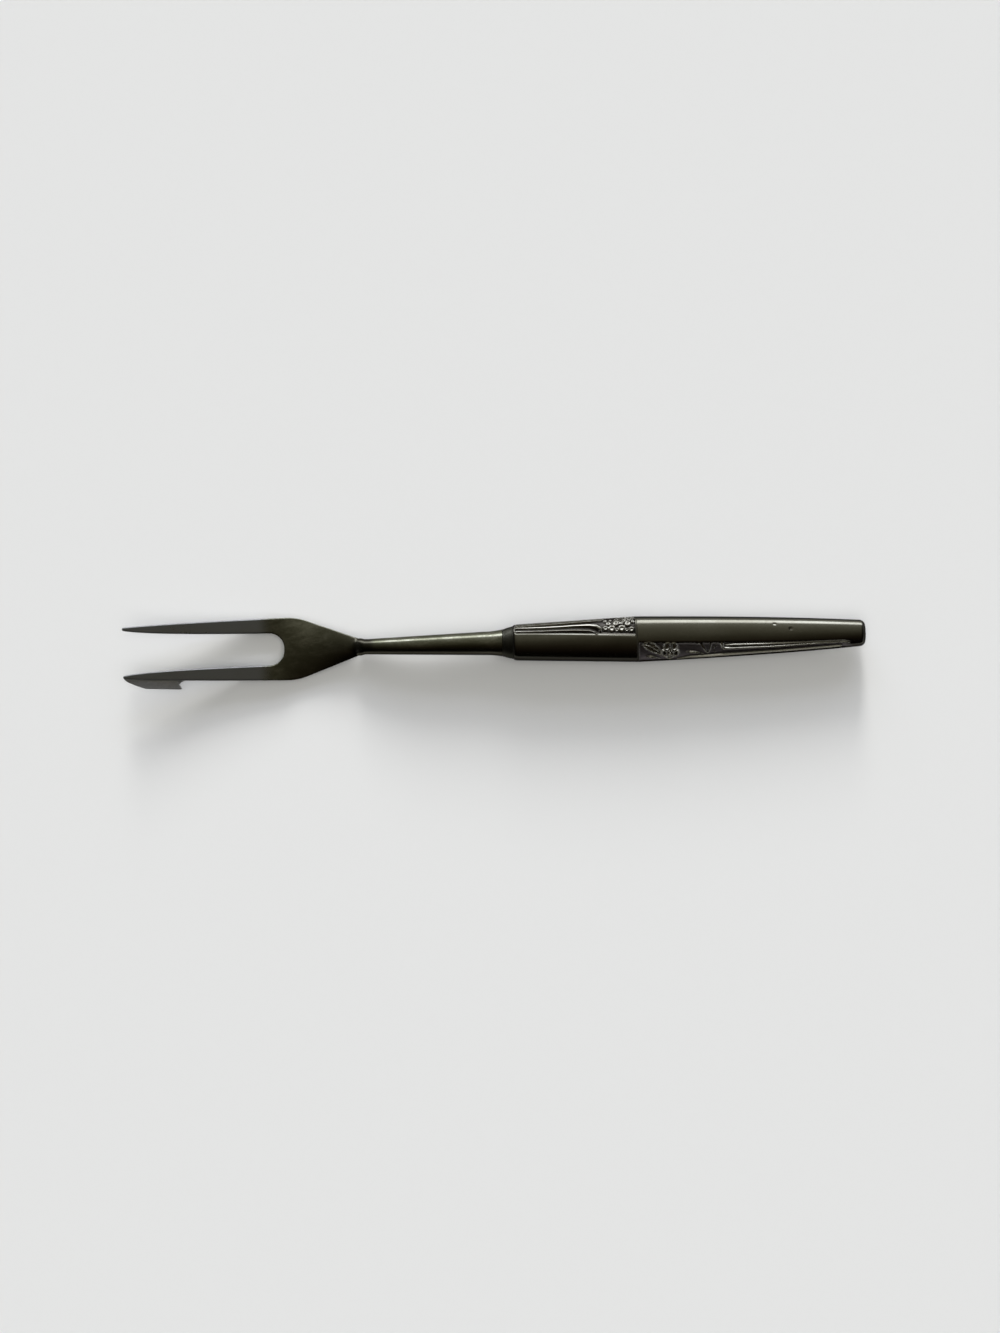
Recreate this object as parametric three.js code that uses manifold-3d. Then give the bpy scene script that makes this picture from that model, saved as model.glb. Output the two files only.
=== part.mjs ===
// Cold meat fork with a hollow handle. The head is one forging: two tines, a barb, a flat root,
// a round shank and the tang. Two half shells struck in one die meet at a seam along both sides
// of the handle, a collar closes their mouth, and a cast core inside them holds the tang.
// Units are millimetres. X runs from the tips to the butt, the barb points to -Y, Z is up, and
// the fork lies on the plane z = 0.
import * as THREE from "three";
import { mergeVertices } from "three/addons/utils/BufferGeometryUtils.js";
import Module from "manifold-3d";

const wasm = await Module();
wasm.setup();

// Head, seen from above
const tineLength = 36.6; // from the tips to the end of the slot
const rootLength = 17.7; // from the end of the slot to the round shank
const headWidth = 14.4; // over both tines at the end of the slot
const tipSpread = 11.0; // between the centres of the two tips
const tipWidth = 0.85;
const slotWidth = 7.4;
const slotEndRadius = 3.4;
const shoulderSetback = 3.0; // from the end of the slot to the corner where the root narrows
const shoulderRound = 2.4; // from that corner to the ends of its rounding
const shankFillet = 1.6; // from the foot of the shoulders to the ends of their fillet
const tineBowShares = [0.33, 0.65]; // how far along, and how far out, a tine's edge bows
const slotBowShares = [0.18, 0.82]; // the same for the slot's edge

// Barb on the outer edge of the lower tine
const barbLength = 13.1; // from the tips to the point of the hook
const barbReach = 2.05; // out from the edge of the tine
const barbRampLength = 5.0; // from the tips to the full reach
const barbTipSwell = 1.1;
const barbHookRound = 0.65;
const barbHookDrop = 0.2;
const barbNickDepth = 1.1; // from the barb's edge to the bottom of the nick behind the hook
const barbHeel = 0.65; // from the point of the hook to where the nick runs out on the tine
const barbThickness = 1.0;

// Head and shank, seen from the side
const plateThickness = 2.0;
const tipThickness = 0.9;
const tipRise = 4.2; // height of the tips' under side above the table
const tineCurveShare = 0.8; // of the tine's length, where the line of the rising tines meets the level root
const shankLength = 32.5;
const shankDiameter = 3.5; // where it leaves the root
const shankEndWidth = 5.4; // where the bolster begins to flare
const bolsterLength = 4.2;
const bolsterWidth = 6.2;
const bolsterDepth = 5.4;
const shankBlend = 4.5; // length over which the flat root swells into the round shank
const neckLength = 34; // from the end of the slot to where the shank is level with the handle

// Tang, square and tapered
const tangLength = 44;
const tangRootSize = 2.4;
const tangEndSize = 1.5;
const tangClearance = 0.2;

// Collar between the bolster and the shells
const collarLength = 2.5;
const collarBackWidth = 7.6;
const collarBackDepth = 5.4;
const spigotLength = 3.0; // the part of the collar inside the mouth of the shells
const spigotClearance = 0.2;

// Handle shells
const shellLength = 80.7;
const shellWall = 0.5;
const mouthWidth = 7.7; // across the front face
const mouthRound = 1.5; // length of the rounded shoulder behind the front face
const shoulderWidth = 8.24;
const handleWidth = 10.5; // at the belly, where the two panels meet
const shoulderDepth = 6.0;
const handleDepth = 6.3;
const buttWidth = 5.9;
const buttDepth = 4.4;
const buttRound = 1.2;
const bellySetback = 28.3; // from the front face to the belly
const handleBowShares = [0.6, 0.31]; // how far along, and how far in, the taper to the butt bows

// Struck panels. Each half shell has two: one beside the +Y seam in front of the belly, and one
// beside the -Y seam behind it. A plain band fills the rest.
const panelDepth = 0.42;
const panelEdge = 0.3; // width of the wall round a panel
const panelRib = 0.5; // plain rib between the two panels at the belly
const frontPanelSetback = 1.4; // from the front face
const rearPanelSetback = 2.6; // from the butt
const seamRim = 0.45; // plain rim beside the seam
const panelAngleAtBelly = THREE.MathUtils.degToRad(82); // from the seam to the plain band
const panelAngleAtEnds = THREE.MathUtils.degToRad(66);

// Relief in the panels
const reedHeight = 0.36;
const reedHalfWidth = 0.5;
const budHeight = 0.5;
const budLength = 3.6;
const budWidth = 1.9;
const blossomRadius = 2.1;
const blossomHeight = 0.5;
const petalCount = 5;
const petalDepthShare = 0.24;
const leafLength = 4.8;
const leafWidth = 2.0;
const leafHeight = 0.4;
const berryRadius = 0.75;
const berryHeight = 0.45;
const bandHalfWidth = 0.45;
const reedTaperShare = 0.5; // width of a reed at its far end

// Core cast inside the shells
const coreClearance = 0.2;

// Resolution
const curveSteps = 10;
const shankSides = 20;
const overrun = 1; // how far a cutting solid stands past the face that it cuts

// Places along the fork
const overallLength = tineLength + rootLength + shankLength + collarLength + shellLength;
const tipX = -overallLength / 2;
const slotEndX = tipX + tineLength;
const shoulderX = slotEndX + shoulderSetback;
const shankX = slotEndX + rootLength;
const collarX = shankX + shankLength;
const shellX = collarX + collarLength;
const handleAxisZ = handleDepth / 2;

const headSteel = new THREE.MeshStandardMaterial({
  name: "head_steel", color: 0x3d3e3a, roughness: 0.38, metalness: 1,
});
const shellSteel = new THREE.MeshStandardMaterial({
  name: "shell_steel", color: 0x5c5c50, roughness: 0.3, metalness: 1,
});
const collarSteel = new THREE.MeshStandardMaterial({
  name: "collar_steel", color: 0x3f4036, roughness: 0.42, metalness: 1,
});
const coreResin = new THREE.MeshStandardMaterial({
  name: "core_resin", color: 0x8c8579, roughness: 0.95, metalness: 0,
});

const { lerp, clamp, smoothstep } = THREE.MathUtils;

function solidOf(geometry) {
  geometry.deleteAttribute("normal");
  geometry.deleteAttribute("uv");
  const merged = mergeVertices(geometry);
  const mesh = new wasm.Mesh({
    numProp: 3,
    vertProperties: new Float32Array(merged.attributes.position.array),
    triVerts: new Uint32Array(merged.index.array),
  });
  return new wasm.Manifold(mesh);
}

function geometryOf(solid) {
  const mesh = solid.getMesh();
  const geometry = new THREE.BufferGeometry();
  geometry.setAttribute("position", new THREE.BufferAttribute(new Float32Array(mesh.vertProperties), 3));
  geometry.setIndex(new THREE.BufferAttribute(new Uint32Array(mesh.triVerts), 1));
  geometry.computeVertexNormals();
  return geometry;
}

// A closed skin through loops of points. Each loop runs anticlockwise seen from +X, the loops
// follow each other toward +X, and a fan from its middle closes each end.
function loft(loops) {
  const count = loops[0].length;
  const positions = loops.flat().flatMap((point) => point.toArray());
  const faces = [];
  for (let i = 0; i < loops.length - 1; i++) {
    for (let k = 0; k < count; k++) {
      const here = i * count + k;
      const next = i * count + ((k + 1) % count);
      faces.push(here, next, here + count);
      faces.push(next, next + count, here + count);
    }
  }
  for (const [first, flip] of [[0, true], [(loops.length - 1) * count, false]]) {
    const middle = new THREE.Vector3();
    const loop = loops[first / count];
    loop.forEach((point) => middle.add(point));
    middle.divideScalar(count);
    const hub = positions.length / 3;
    positions.push(middle.x, middle.y, middle.z);
    for (let k = 0; k < count; k++) {
      const here = first + k;
      const next = first + ((k + 1) % count);
      faces.push(hub, ...(flip ? [next, here] : [here, next]));
    }
  }
  const geometry = new THREE.BufferGeometry();
  geometry.setAttribute("position", new THREE.Float32BufferAttribute(positions, 3));
  geometry.setIndex(faces);
  return geometry;
}

function ellipseLoop(x, z, halfWidth, halfDepth) {
  return Array.from({ length: shankSides }, (_, k) => {
    const angle = (2 * Math.PI * k) / shankSides;
    return new THREE.Vector3(x, halfWidth * Math.cos(angle), z + halfDepth * Math.sin(angle));
  });
}

function squareLoop(x, z, size) {
  const half = size / 2;
  const corners = [[half, half], [-half, half], [-half, -half], [half, -half]];
  return corners.map(([y, up]) => new THREE.Vector3(x, y, z + up));
}

// The height at x of a quadratic curve from start over control to end.
function quadraticAt(start, control, end, x) {
  const a = start.x - 2 * control.x + end.x;
  const b = 2 * (control.x - start.x);
  const c = start.x - x;
  const t = Math.abs(a) < Number.EPSILON ? -c / b : (-b + Math.sqrt(b * b - 4 * a * c)) / (2 * a);
  return lerp(lerp(start.y, control.y, t), lerp(control.y, end.y, t), t);
}

// Head: the plan outline, extruded and cut to the side profile

const tipRadius = tipWidth / 2;
const tipOuter = new THREE.Vector2(tipX + tipRadius, tipSpread / 2 + tipRadius);
const tipInner = new THREE.Vector2(tipX + tipRadius, tipSpread / 2 - tipRadius);
const shoulderStart = new THREE.Vector2(shoulderX - shoulderRound, headWidth / 2);
const shoulderCorner = new THREE.Vector2(shoulderX, headWidth / 2);
// The corners of the flat root end just inside the round shank.
const shankCorner = new THREE.Vector2(
  shankX,
  Math.sqrt(Math.max(0, (shankDiameter / 2) ** 2 - (plateThickness / 2) ** 2)),
);
const tineBow = new THREE.Vector2(
  lerp(tipOuter.x, shoulderStart.x, tineBowShares[0]),
  lerp(tipOuter.y, shoulderStart.y, tineBowShares[1]),
);

function tineEdgeAt(x) {
  return quadraticAt(tipOuter, tineBow, shoulderStart, x);
}

// One half of the outline, from the middle of the slot's end round the tip to the shank.
function halfOutline() {
  const slotEdge = new THREE.Vector2(slotEndX - slotEndRadius, slotWidth / 2);
  const bow = [
    lerp(tipInner.x, slotEdge.x, slotBowShares[0]),
    lerp(tipInner.y, slotEdge.y, slotBowShares[1]),
  ];
  const shoulder = shankCorner.clone().sub(shoulderCorner);
  const shoulderEnd = shoulder.clone().setLength(shoulderRound).add(shoulderCorner);
  const filletStart = shoulder.clone().setLength(-shankFillet).add(shankCorner);
  const edge = new THREE.Path();
  edge.moveTo(slotEndX, 0);
  edge.lineTo(slotEndX, slotEdge.y - slotEndRadius);
  edge.absarc(slotEdge.x, slotEdge.y - slotEndRadius, slotEndRadius, 0, Math.PI / 2, false);
  edge.quadraticCurveTo(...bow, tipInner.x, tipInner.y);
  edge.absarc(tipInner.x, tipSpread / 2, tipRadius, -Math.PI / 2, -Math.PI * 1.5, true);
  edge.quadraticCurveTo(tineBow.x, tineBow.y, shoulderStart.x, shoulderStart.y);
  edge.quadraticCurveTo(shoulderCorner.x, shoulderCorner.y, shoulderEnd.x, shoulderEnd.y);
  edge.lineTo(filletStart.x, filletStart.y);
  edge.quadraticCurveTo(shankCorner.x, shankCorner.y, shankX + shankFillet, shankCorner.y);
  return edge.getPoints(curveSteps);
}

function headPlan() {
  const half = halfOutline();
  const mirrored = half.slice(1).map((point) => new THREE.Vector2(point.x, -point.y));
  return new THREE.Shape([...half, ...mirrored.reverse()]);
}

// The height of the head's middle plane behind the slot, and then of the shank's axis.
function axisHeight(x) {
  return lerp(plateThickness / 2, handleAxisZ, smoothstep(x, slotEndX, slotEndX + neckLength));
}

// The side of the head: the tines rise to the tips, and the root rises to the shank.
function headProfile(thickness) {
  const bow = lerp(tipX, slotEndX, tineCurveShare);
  const tip = tipThickness * (thickness / plateThickness);
  const tipMiddle = tipRise + tipThickness / 2;
  const middle = plateThickness / 2;
  const rootStations = Array.from(
    { length: curveSteps },
    (_, i) => lerp(slotEndX, shankX + shankFillet, (i + 1) / curveSteps),
  );
  const profile = new THREE.Shape();
  profile.moveTo(tipX, tipMiddle - tip / 2);
  profile.quadraticCurveTo(bow, middle - thickness / 2, slotEndX, middle - thickness / 2);
  for (const x of rootStations) {
    profile.lineTo(x, axisHeight(x) - thickness / 2);
  }
  for (const x of rootStations.reverse()) {
    profile.lineTo(x, axisHeight(x) + thickness / 2);
  }
  profile.lineTo(slotEndX, middle + thickness / 2);
  profile.quadraticCurveTo(bow, middle + thickness / 2, tipX, tipMiddle + tip / 2);
  return profile;
}

// A plan outline extruded upward, kept where the side profile has material.
function plateOf(plan, profile) {
  const height = tipRise + handleDepth;
  const upright = new THREE.ExtrudeGeometry(plan, {
    depth: height, bevelEnabled: false, curveSegments: curveSteps,
  });
  upright.translate(0, 0, -height / 4);
  const breadth = 2 * headWidth;
  const across = new THREE.ExtrudeGeometry(profile, {
    depth: breadth, bevelEnabled: false, curveSegments: curveSteps,
  });
  across.rotateX(Math.PI / 2);
  across.translate(0, breadth / 2, 0);
  return solidOf(upright).intersect(solidOf(across));
}

function barbPlan() {
  const hookX = tipX + barbLength;
  const rampX = tipX + barbRampLength;
  const edgeAt = (x) => tineEdgeAt(x) + barbReach;
  const hookY = edgeAt(hookX);
  const plan = new THREE.Shape();
  plan.moveTo(tipX + tipRadius, -tipSpread / 2);
  plan.lineTo(hookX + barbHeel, -tipSpread / 2);
  plan.lineTo(hookX + barbHeel, -tineEdgeAt(hookX + barbHeel));
  plan.lineTo(hookX - barbHookRound, barbNickDepth - hookY);
  plan.lineTo(hookX, barbHookDrop - hookY);
  plan.lineTo(hookX - barbHookRound, -edgeAt(hookX - barbHookRound));
  plan.lineTo(rampX, -edgeAt(rampX));
  plan.quadraticCurveTo(tipX, -tipSpread / 2 - barbTipSwell, tipX, -tipSpread / 2);
  return plan;
}

function shankHalfWidth(x) {
  const flareX = collarX - bolsterLength;
  if (x < flareX) {
    return lerp(shankDiameter, shankEndWidth, (x - shankX) / (flareX - shankX)) / 2;
  }
  const share = (x - flareX) / bolsterLength;
  return lerp(shankEndWidth, bolsterWidth, share * share) / 2;
}

// Round where it leaves the root, and a little wider than deep at the collar. In the blend the
// loop grows out of the flat root, still hidden inside it at its start.
function shankLoops() {
  const loops = [];
  const blendX = shankX - shankBlend;
  const rootShare = (shankX - shoulderX - shankBlend) / (shankX - shoulderX);
  const rootHalfWidth = lerp(headWidth, shankDiameter, rootShare) / 2;
  for (let i = 0; i < curveSteps; i++) {
    const share = i / curveSteps;
    const x = lerp(blendX, shankX, share);
    const swell = smoothstep(share, 0, 1);
    const halfWidth = lerp(rootHalfWidth * swell, shankDiameter / 2, share);
    const halfDepth = lerp(plateThickness / 4, shankDiameter / 2, swell);
    loops.push(ellipseLoop(x, axisHeight(x), Math.max(halfWidth, halfDepth), halfDepth));
  }
  const steps = 2 * curveSteps;
  for (let i = 0; i <= steps; i++) {
    const x = lerp(shankX, collarX, i / steps);
    const round = lerp(1, bolsterDepth / bolsterWidth, smoothstep(i / steps, 0, 1));
    const halfWidth = shankHalfWidth(x);
    loops.push(ellipseLoop(x, axisHeight(x), halfWidth, halfWidth * round));
  }
  return loops;
}

function tangLoops(clearance, start, end) {
  const sizeAt = (x) => lerp(tangRootSize, tangEndSize, (x - collarX) / tangLength);
  return [start, end].map((x) => squareLoop(x, handleAxisZ, sizeAt(x) + 2 * clearance));
}

function forkHead() {
  const plate = plateOf(headPlan(), headProfile(plateThickness));
  const barb = plateOf(barbPlan(), headProfile(barbThickness));
  const shank = solidOf(loft(shankLoops()));
  const tang = solidOf(loft(tangLoops(0, collarX - bolsterLength, collarX + tangLength)));
  return plate.add(barb).add(shank).add(tang);
}

// Handle, in its own frame: x runs back from the front face of the shells, z = 0 is the seam

// A size of the section: straight from the shoulder to the belly, then bowed down to the butt.
function taperedAlong(x, shoulderSize, bellySize, buttSize) {
  const belly = new THREE.Vector2(bellySetback, bellySize);
  const butt = new THREE.Vector2(shellLength, buttSize);
  const bow = new THREE.Vector2(
    lerp(belly.x, butt.x, handleBowShares[0]),
    lerp(belly.y, butt.y, handleBowShares[1]),
  );
  if (x > belly.x) {
    return quadraticAt(belly, bow, butt, x);
  }
  return lerp(shoulderSize, bellySize, x / belly.x);
}

function handleHalfWidth(x) {
  return taperedAlong(x, shoulderWidth, handleWidth, buttWidth) / 2;
}

function handleHalfDepth(x) {
  return taperedAlong(x, shoulderDepth, handleDepth, buttDepth) / 2;
}

// How far the rounded shoulder and the rounded butt stand in from the straight outline.
function roundedEnds(x) {
  const frontShare = clamp(1 - x / mouthRound, 0, 1);
  const front = ((shoulderWidth - mouthWidth) / 2) * (1 - Math.sqrt(1 - frontShare ** 2));
  const buttShare = clamp(1 - (shellLength - x) / buttRound, 0, 1);
  return front + buttRound * (1 - Math.sqrt(1 - buttShare ** 2));
}

function sectionPoint(x, angle, offset) {
  const halfWidth = handleHalfWidth(x) - roundedEnds(x);
  const halfDepth = handleHalfDepth(x) - roundedEnds(x);
  const normal = new THREE.Vector2(Math.cos(angle) / halfWidth, Math.sin(angle) / halfDepth);
  normal.setLength(offset);
  return new THREE.Vector3(
    x,
    halfWidth * Math.cos(angle) + normal.x,
    halfDepth * Math.sin(angle) + normal.y,
  );
}

// A panel is laid out from the belly outward: along is the distance from its inner end, and
// across runs from 0 at the seam to 1 at the plain band.
const frontPanelLength = bellySetback - panelRib / 2 - frontPanelSetback;
const rearPanelLength = shellLength - rearPanelSetback - bellySetback - panelRib / 2;

function panelAngle(x) {
  const reach = x < bellySetback ? bellySetback : shellLength - bellySetback;
  return lerp(panelAngleAtBelly, panelAngleAtEnds, Math.abs(x - bellySetback) / reach);
}

// Motifs: places as shares of the panel's length and breadth
const frontReedShares = [
  { from: 0.29, to: 1, startAcross: 0.4, endAcross: 0.45 },
  { from: 0.42, to: 1, startAcross: 0.61, endAcross: 0.67 },
  { from: 0.42, to: 0.88, startAcross: 0.8, endAcross: 0.86 },
];
const rearReedShares = [
  { from: 0.2, to: 0.98, startAcross: 0.4, endAcross: 0.62 },
  { from: 0.37, to: 0.96, startAcross: 0.69, endAcross: 0.84 },
  { from: 0.4, to: 0.8, startAcross: 0.86, endAcross: 0.95 },
];
const frontBudShares = { along: 0.36, across: 0.7 };
const rearBudShares = { along: 0.35, across: 0.72 };
const frontBlossomShares = { along: 0.13, across: 0.62 };
const rearBlossomShares = { along: 0.15, across: 0.64 };
const frontBerryShares = [
  { along: 0.24, across: 0.42 },
  { along: 0.25, across: 0.82 },
  { along: 0.05, across: 0.26 },
  { along: 0.16, across: 0.22 },
  { along: 0.03, across: 0.9 },
];
const rearLeafShares = [
  { along: 0.055, across: 0.66 },
  { along: 0.235, across: 0.7 },
];
const rearBandShares = [0.275, 0.295];

function dome(length, width) {
  return Math.sqrt(Math.max(0, 1 - length * length - width * width));
}

function blossomAt(dx, dy) {
  const petal = 1 - petalDepthShare + petalDepthShare * Math.cos(petalCount * Math.atan2(dy, dx));
  const reach = blossomRadius * petal;
  return blossomHeight * dome(dx / reach, dy / reach);
}

function leafAt(dx, dy) {
  const share = clamp((2 * Math.abs(dx)) / leafLength, 0, 1);
  return leafHeight * dome(share, (2 * dy) / (leafWidth * (1 - share ** 2) + leafHeight));
}

// Height of the relief at a place in a panel. Distances across are along the curved surface.
function reliefAt(panel, along, across, breadth) {
  const from = (motif) => [
    (along - motif.along) * panel.length,
    (across - motif.across) * breadth,
  ];
  let height = 0;
  for (const reed of panel.reeds) {
    const share = (along - reed.from) / (reed.to - reed.from);
    if (share >= 0 && share <= 1) {
      const offset = (across - lerp(reed.startAcross, reed.endAcross, share)) * breadth;
      const taper = lerp(1, reedTaperShare, share);
      height = Math.max(height, reedHeight * dome(0, offset / (reedHalfWidth * taper)));
    }
  }
  const [budX, budY] = from(panel.bud);
  height = Math.max(height, budHeight * dome((2 * budX) / budLength, (2 * budY) / budWidth));
  height = Math.max(height, blossomAt(...from(panel.blossom)));
  for (const berry of panel.berries) {
    const [dx, dy] = from(berry);
    height = Math.max(height, berryHeight * dome(dx / berryRadius, dy / berryRadius));
  }
  for (const leaf of panel.leaves) {
    height = Math.max(height, leafAt(...from(leaf)));
  }
  for (const band of panel.bands) {
    height = Math.max(height, reedHeight * dome(((along - band) * panel.length) / bandHalfWidth, 0));
  }
  return height;
}

const frontPanel = {
  length: frontPanelLength,
  reeds: frontReedShares,
  bud: frontBudShares,
  blossom: frontBlossomShares,
  berries: frontBerryShares,
  leaves: [],
  bands: [],
};
const rearPanel = {
  length: rearPanelLength,
  reeds: rearReedShares,
  bud: rearBudShares,
  blossom: rearBlossomShares,
  berries: [],
  leaves: rearLeafShares,
  bands: rearBandShares,
};

// How deep the sheet is struck at a place on the upper shell: 0 on the plain band and the rims.
// Without its relief a panel is its plain ground, as on the inside of the sheet.
function struckDepth(x, angle, withRelief) {
  const inFront = x < bellySetback;
  const panel = inFront ? frontPanel : rearPanel;
  const fromSeam = inFront ? angle : Math.PI - angle;
  const breadth = (panelAngle(x) * (handleHalfWidth(x) + handleHalfDepth(x))) / 2;
  const along = (Math.abs(x - bellySetback) - panelRib / 2) / panel.length;
  const across = fromSeam / panelAngle(x);
  const walls = [
    along * panel.length / panelEdge,
    (1 - along) * panel.length / panelEdge,
    (1 - across) * breadth / panelEdge,
    across * breadth / seamRim,
  ];
  const mask = walls.reduce((share, wall) => share * smoothstep(wall, 0, 1), 1);
  const relief = withRelief ? reliefAt(panel, along, across, breadth) : 0;
  return mask * (panelDepth - relief);
}

// Angles of the columns of points across the upper half. They follow the panel, so that its
// edge and the crests of its reeds fall on columns, and cross to the other side at the belly.
const panelColumnShares = [0, 0.1, 0.2, 0.3, 0.4, 0.5, 0.6, 0.7, 0.8, 0.88, 0.94, 1];
const plainColumns = 9;
const coreColumnShares = [0, 0.12, 0.4, 0.7, 0.93, 1];
const corePlainColumns = 5;

function columnAngles(x, shares, plainCount) {
  const edge = panelAngle(x);
  const angles = shares.map((share) => share * edge);
  for (let k = 1; k <= plainCount; k++) {
    angles.push(lerp(edge, Math.PI, k / plainCount));
  }
  return x < bellySetback ? angles : angles.map((angle) => Math.PI - angle).reverse();
}

function steps(from, to, spacing) {
  const count = Math.max(1, Math.round((to - from) / spacing));
  return Array.from({ length: count }, (_, i) => lerp(from, to, i / count));
}

// Stations along the shells, close together over the blossoms and at the ends of the panels.
const plainSpacing = 2.6;
const motifSpacing = 0.8;
const frontMotifLength = 12.2;
const rearMotifLength = 20;

function shellStations() {
  const frontEnd = bellySetback - panelRib / 2;
  const rearStart = bellySetback + panelRib / 2;
  const rearEnd = shellLength - rearPanelSetback;
  return [
    ...steps(0, mouthRound, mouthRound / 4),
    ...steps(mouthRound, frontEnd - frontMotifLength, plainSpacing),
    ...steps(frontEnd - frontMotifLength, frontEnd - panelEdge, motifSpacing),
    frontEnd - panelEdge,
    frontEnd,
    ...steps(rearStart, rearStart + panelEdge, panelEdge),
    ...steps(rearStart + panelEdge, rearStart + rearMotifLength, motifSpacing),
    ...steps(rearStart + rearMotifLength, rearEnd - panelEdge, plainSpacing),
    ...steps(rearEnd - panelEdge, rearEnd, panelEdge),
    ...steps(rearEnd, shellLength - buttRound, plainSpacing),
    ...steps(shellLength - buttRound, shellLength, buttRound / 4),
    shellLength,
  ];
}

// The blank of the upper shell, solid down to the seam.
function shellBlank() {
  return loft(shellStations().map((x) => columnAngles(x, panelColumnShares, plainColumns).map(
    (angle) => sectionPoint(x, angle, -struckDepth(x, angle, true)),
  )));
}

function coreStations(start, end) {
  const ends = [
    frontPanelSetback, frontPanelSetback + panelEdge,
    bellySetback - panelRib / 2 - panelEdge, bellySetback - panelRib / 2,
    bellySetback + panelRib / 2, bellySetback + panelRib / 2 + panelEdge,
    shellLength - rearPanelSetback - panelEdge, shellLength - rearPanelSetback,
  ];
  const between = steps(mouthRound, shellLength - buttRound, 2 * plainSpacing);
  const inside = [...ends, ...between].filter((x) => x > start + panelEdge && x < end - panelEdge);
  return [start, ...inside.sort((a, b) => a - b), end];
}

// One half of the hollow inside the shells, drawn in by a clearance where a core is to fit it.
function hollowHalf(x, clearance) {
  return columnAngles(x, coreColumnShares, corePlainColumns).map(
    (angle) => sectionPoint(x, angle, -(shellWall + clearance + struckDepth(x, angle, false))),
  );
}

function halfShell() {
  const loops = coreStations(-overrun, shellLength - shellWall).map((x) => {
    const roof = hollowHalf(x, 0);
    const [right, left] = [roof[0], roof[roof.length - 1]];
    return [...roof, left.clone().setZ(-overrun), right.clone().setZ(-overrun)];
  });
  return solidOf(shellBlank()).subtract(solidOf(loft(loops)));
}

function fullLoop(half) {
  const turned = half.map((point) => new THREE.Vector3(point.x, -point.y, -point.z));
  return [...half.slice(0, -1), ...turned.slice(0, -1)];
}

function core() {
  const start = spigotLength + coreClearance;
  const end = shellLength - shellWall - coreClearance;
  const loops = coreStations(start, end).map((x) => fullLoop(hollowHalf(x, coreClearance)));
  const boreEnd = shellX + tangLength - collarLength + tangClearance;
  const bore = loft(tangLoops(tangClearance, shellX - overrun, boreEnd));
  bore.translate(-shellX, 0, -handleAxisZ);
  return solidOf(loft(loops)).subtract(solidOf(bore));
}

function collar() {
  const loops = [];
  for (let i = 0; i <= curveSteps / 2; i++) {
    const share = i / (curveSteps / 2);
    const halfWidth = lerp(bolsterWidth, collarBackWidth, share) / 2;
    const halfDepth = lerp(bolsterDepth, collarBackDepth, share) / 2;
    loops.push(ellipseLoop(lerp(-collarLength, 0, share), 0, halfWidth, halfDepth));
  }
  const mouthDepth = shoulderDepth - (shoulderWidth - mouthWidth);
  const fit = shellWall + spigotClearance;
  const spigot = [-collarLength / 2, spigotLength].map(
    (x) => ellipseLoop(x, 0, mouthWidth / 2 - fit, mouthDepth / 2 - fit),
  );
  const bore = loft([-collarLength - overrun, spigotLength + overrun].map(
    (x) => squareLoop(x, 0, tangRootSize + 2 * tangClearance),
  ));
  return solidOf(loft(loops)).add(solidOf(loft(spigot))).subtract(solidOf(bore));
}

function piece(name, solid, material) {
  const mesh = new THREE.Mesh(geometryOf(solid), material);
  mesh.name = name;
  return mesh;
}

const handle = new THREE.Group();
handle.position.set(shellX, 0, handleAxisZ);
const struckHalf = halfShell();
const upperShell = piece("handle_upper_shell", struckHalf, shellSteel);
const lowerShell = piece("handle_lower_shell", struckHalf, shellSteel.clone());
lowerShell.rotation.x = Math.PI;
handle.add(
  upperShell,
  lowerShell,
  piece("handle_collar", collar(), collarSteel),
  piece("handle_core", core(), coreResin),
);

// The barb makes the outline wider on one side, so the middle of the box is beside the axis.
const fork = new THREE.Group();
const barbEdge = tineEdgeAt(tipX + barbLength - barbHookRound) + barbReach;
fork.position.y = (barbEdge - headWidth / 2) / 2;
fork.add(piece("fork_head", forkHead(), headSteel), handle);

export default fork;
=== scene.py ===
# %% [markdown]
# # A cold meat fork with a hollow handle
#
# The fork is small, about a hand long, and made of few pieces: one forging for the tines, the
# root, the shank and the tang, a collar, and a handle of two half shells struck in one die.
# Its looks come from three things: dark steel that mirrors a window along its upper side, the
# flowers and reeds struck in its handle, and the wear of many years. Each gets its own steps
# below, and painted shade darkens places that would otherwise mirror too much light. The sizes
# come from the imported model, so everything is in metres and already in place.

# %% Open the imported model
import math

import bmesh
import bpy
import numpy as np
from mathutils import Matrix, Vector


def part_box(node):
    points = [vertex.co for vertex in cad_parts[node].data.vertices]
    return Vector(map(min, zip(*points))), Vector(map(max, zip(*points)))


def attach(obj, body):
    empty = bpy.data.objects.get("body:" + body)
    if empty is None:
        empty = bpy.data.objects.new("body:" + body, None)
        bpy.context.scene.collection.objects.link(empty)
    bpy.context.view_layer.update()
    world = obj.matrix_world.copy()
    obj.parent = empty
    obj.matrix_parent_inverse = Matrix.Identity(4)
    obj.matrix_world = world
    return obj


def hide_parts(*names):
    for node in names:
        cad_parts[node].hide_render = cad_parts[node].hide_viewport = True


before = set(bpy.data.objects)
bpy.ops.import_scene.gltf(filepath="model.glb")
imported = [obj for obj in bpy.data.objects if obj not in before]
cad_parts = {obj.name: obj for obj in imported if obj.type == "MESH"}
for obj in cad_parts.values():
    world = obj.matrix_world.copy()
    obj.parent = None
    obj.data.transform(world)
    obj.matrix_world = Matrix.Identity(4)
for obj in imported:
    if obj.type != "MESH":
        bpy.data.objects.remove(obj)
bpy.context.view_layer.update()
mm = 0.001
print("pieces in the frame:", ", ".join(sorted(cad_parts)))

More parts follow.
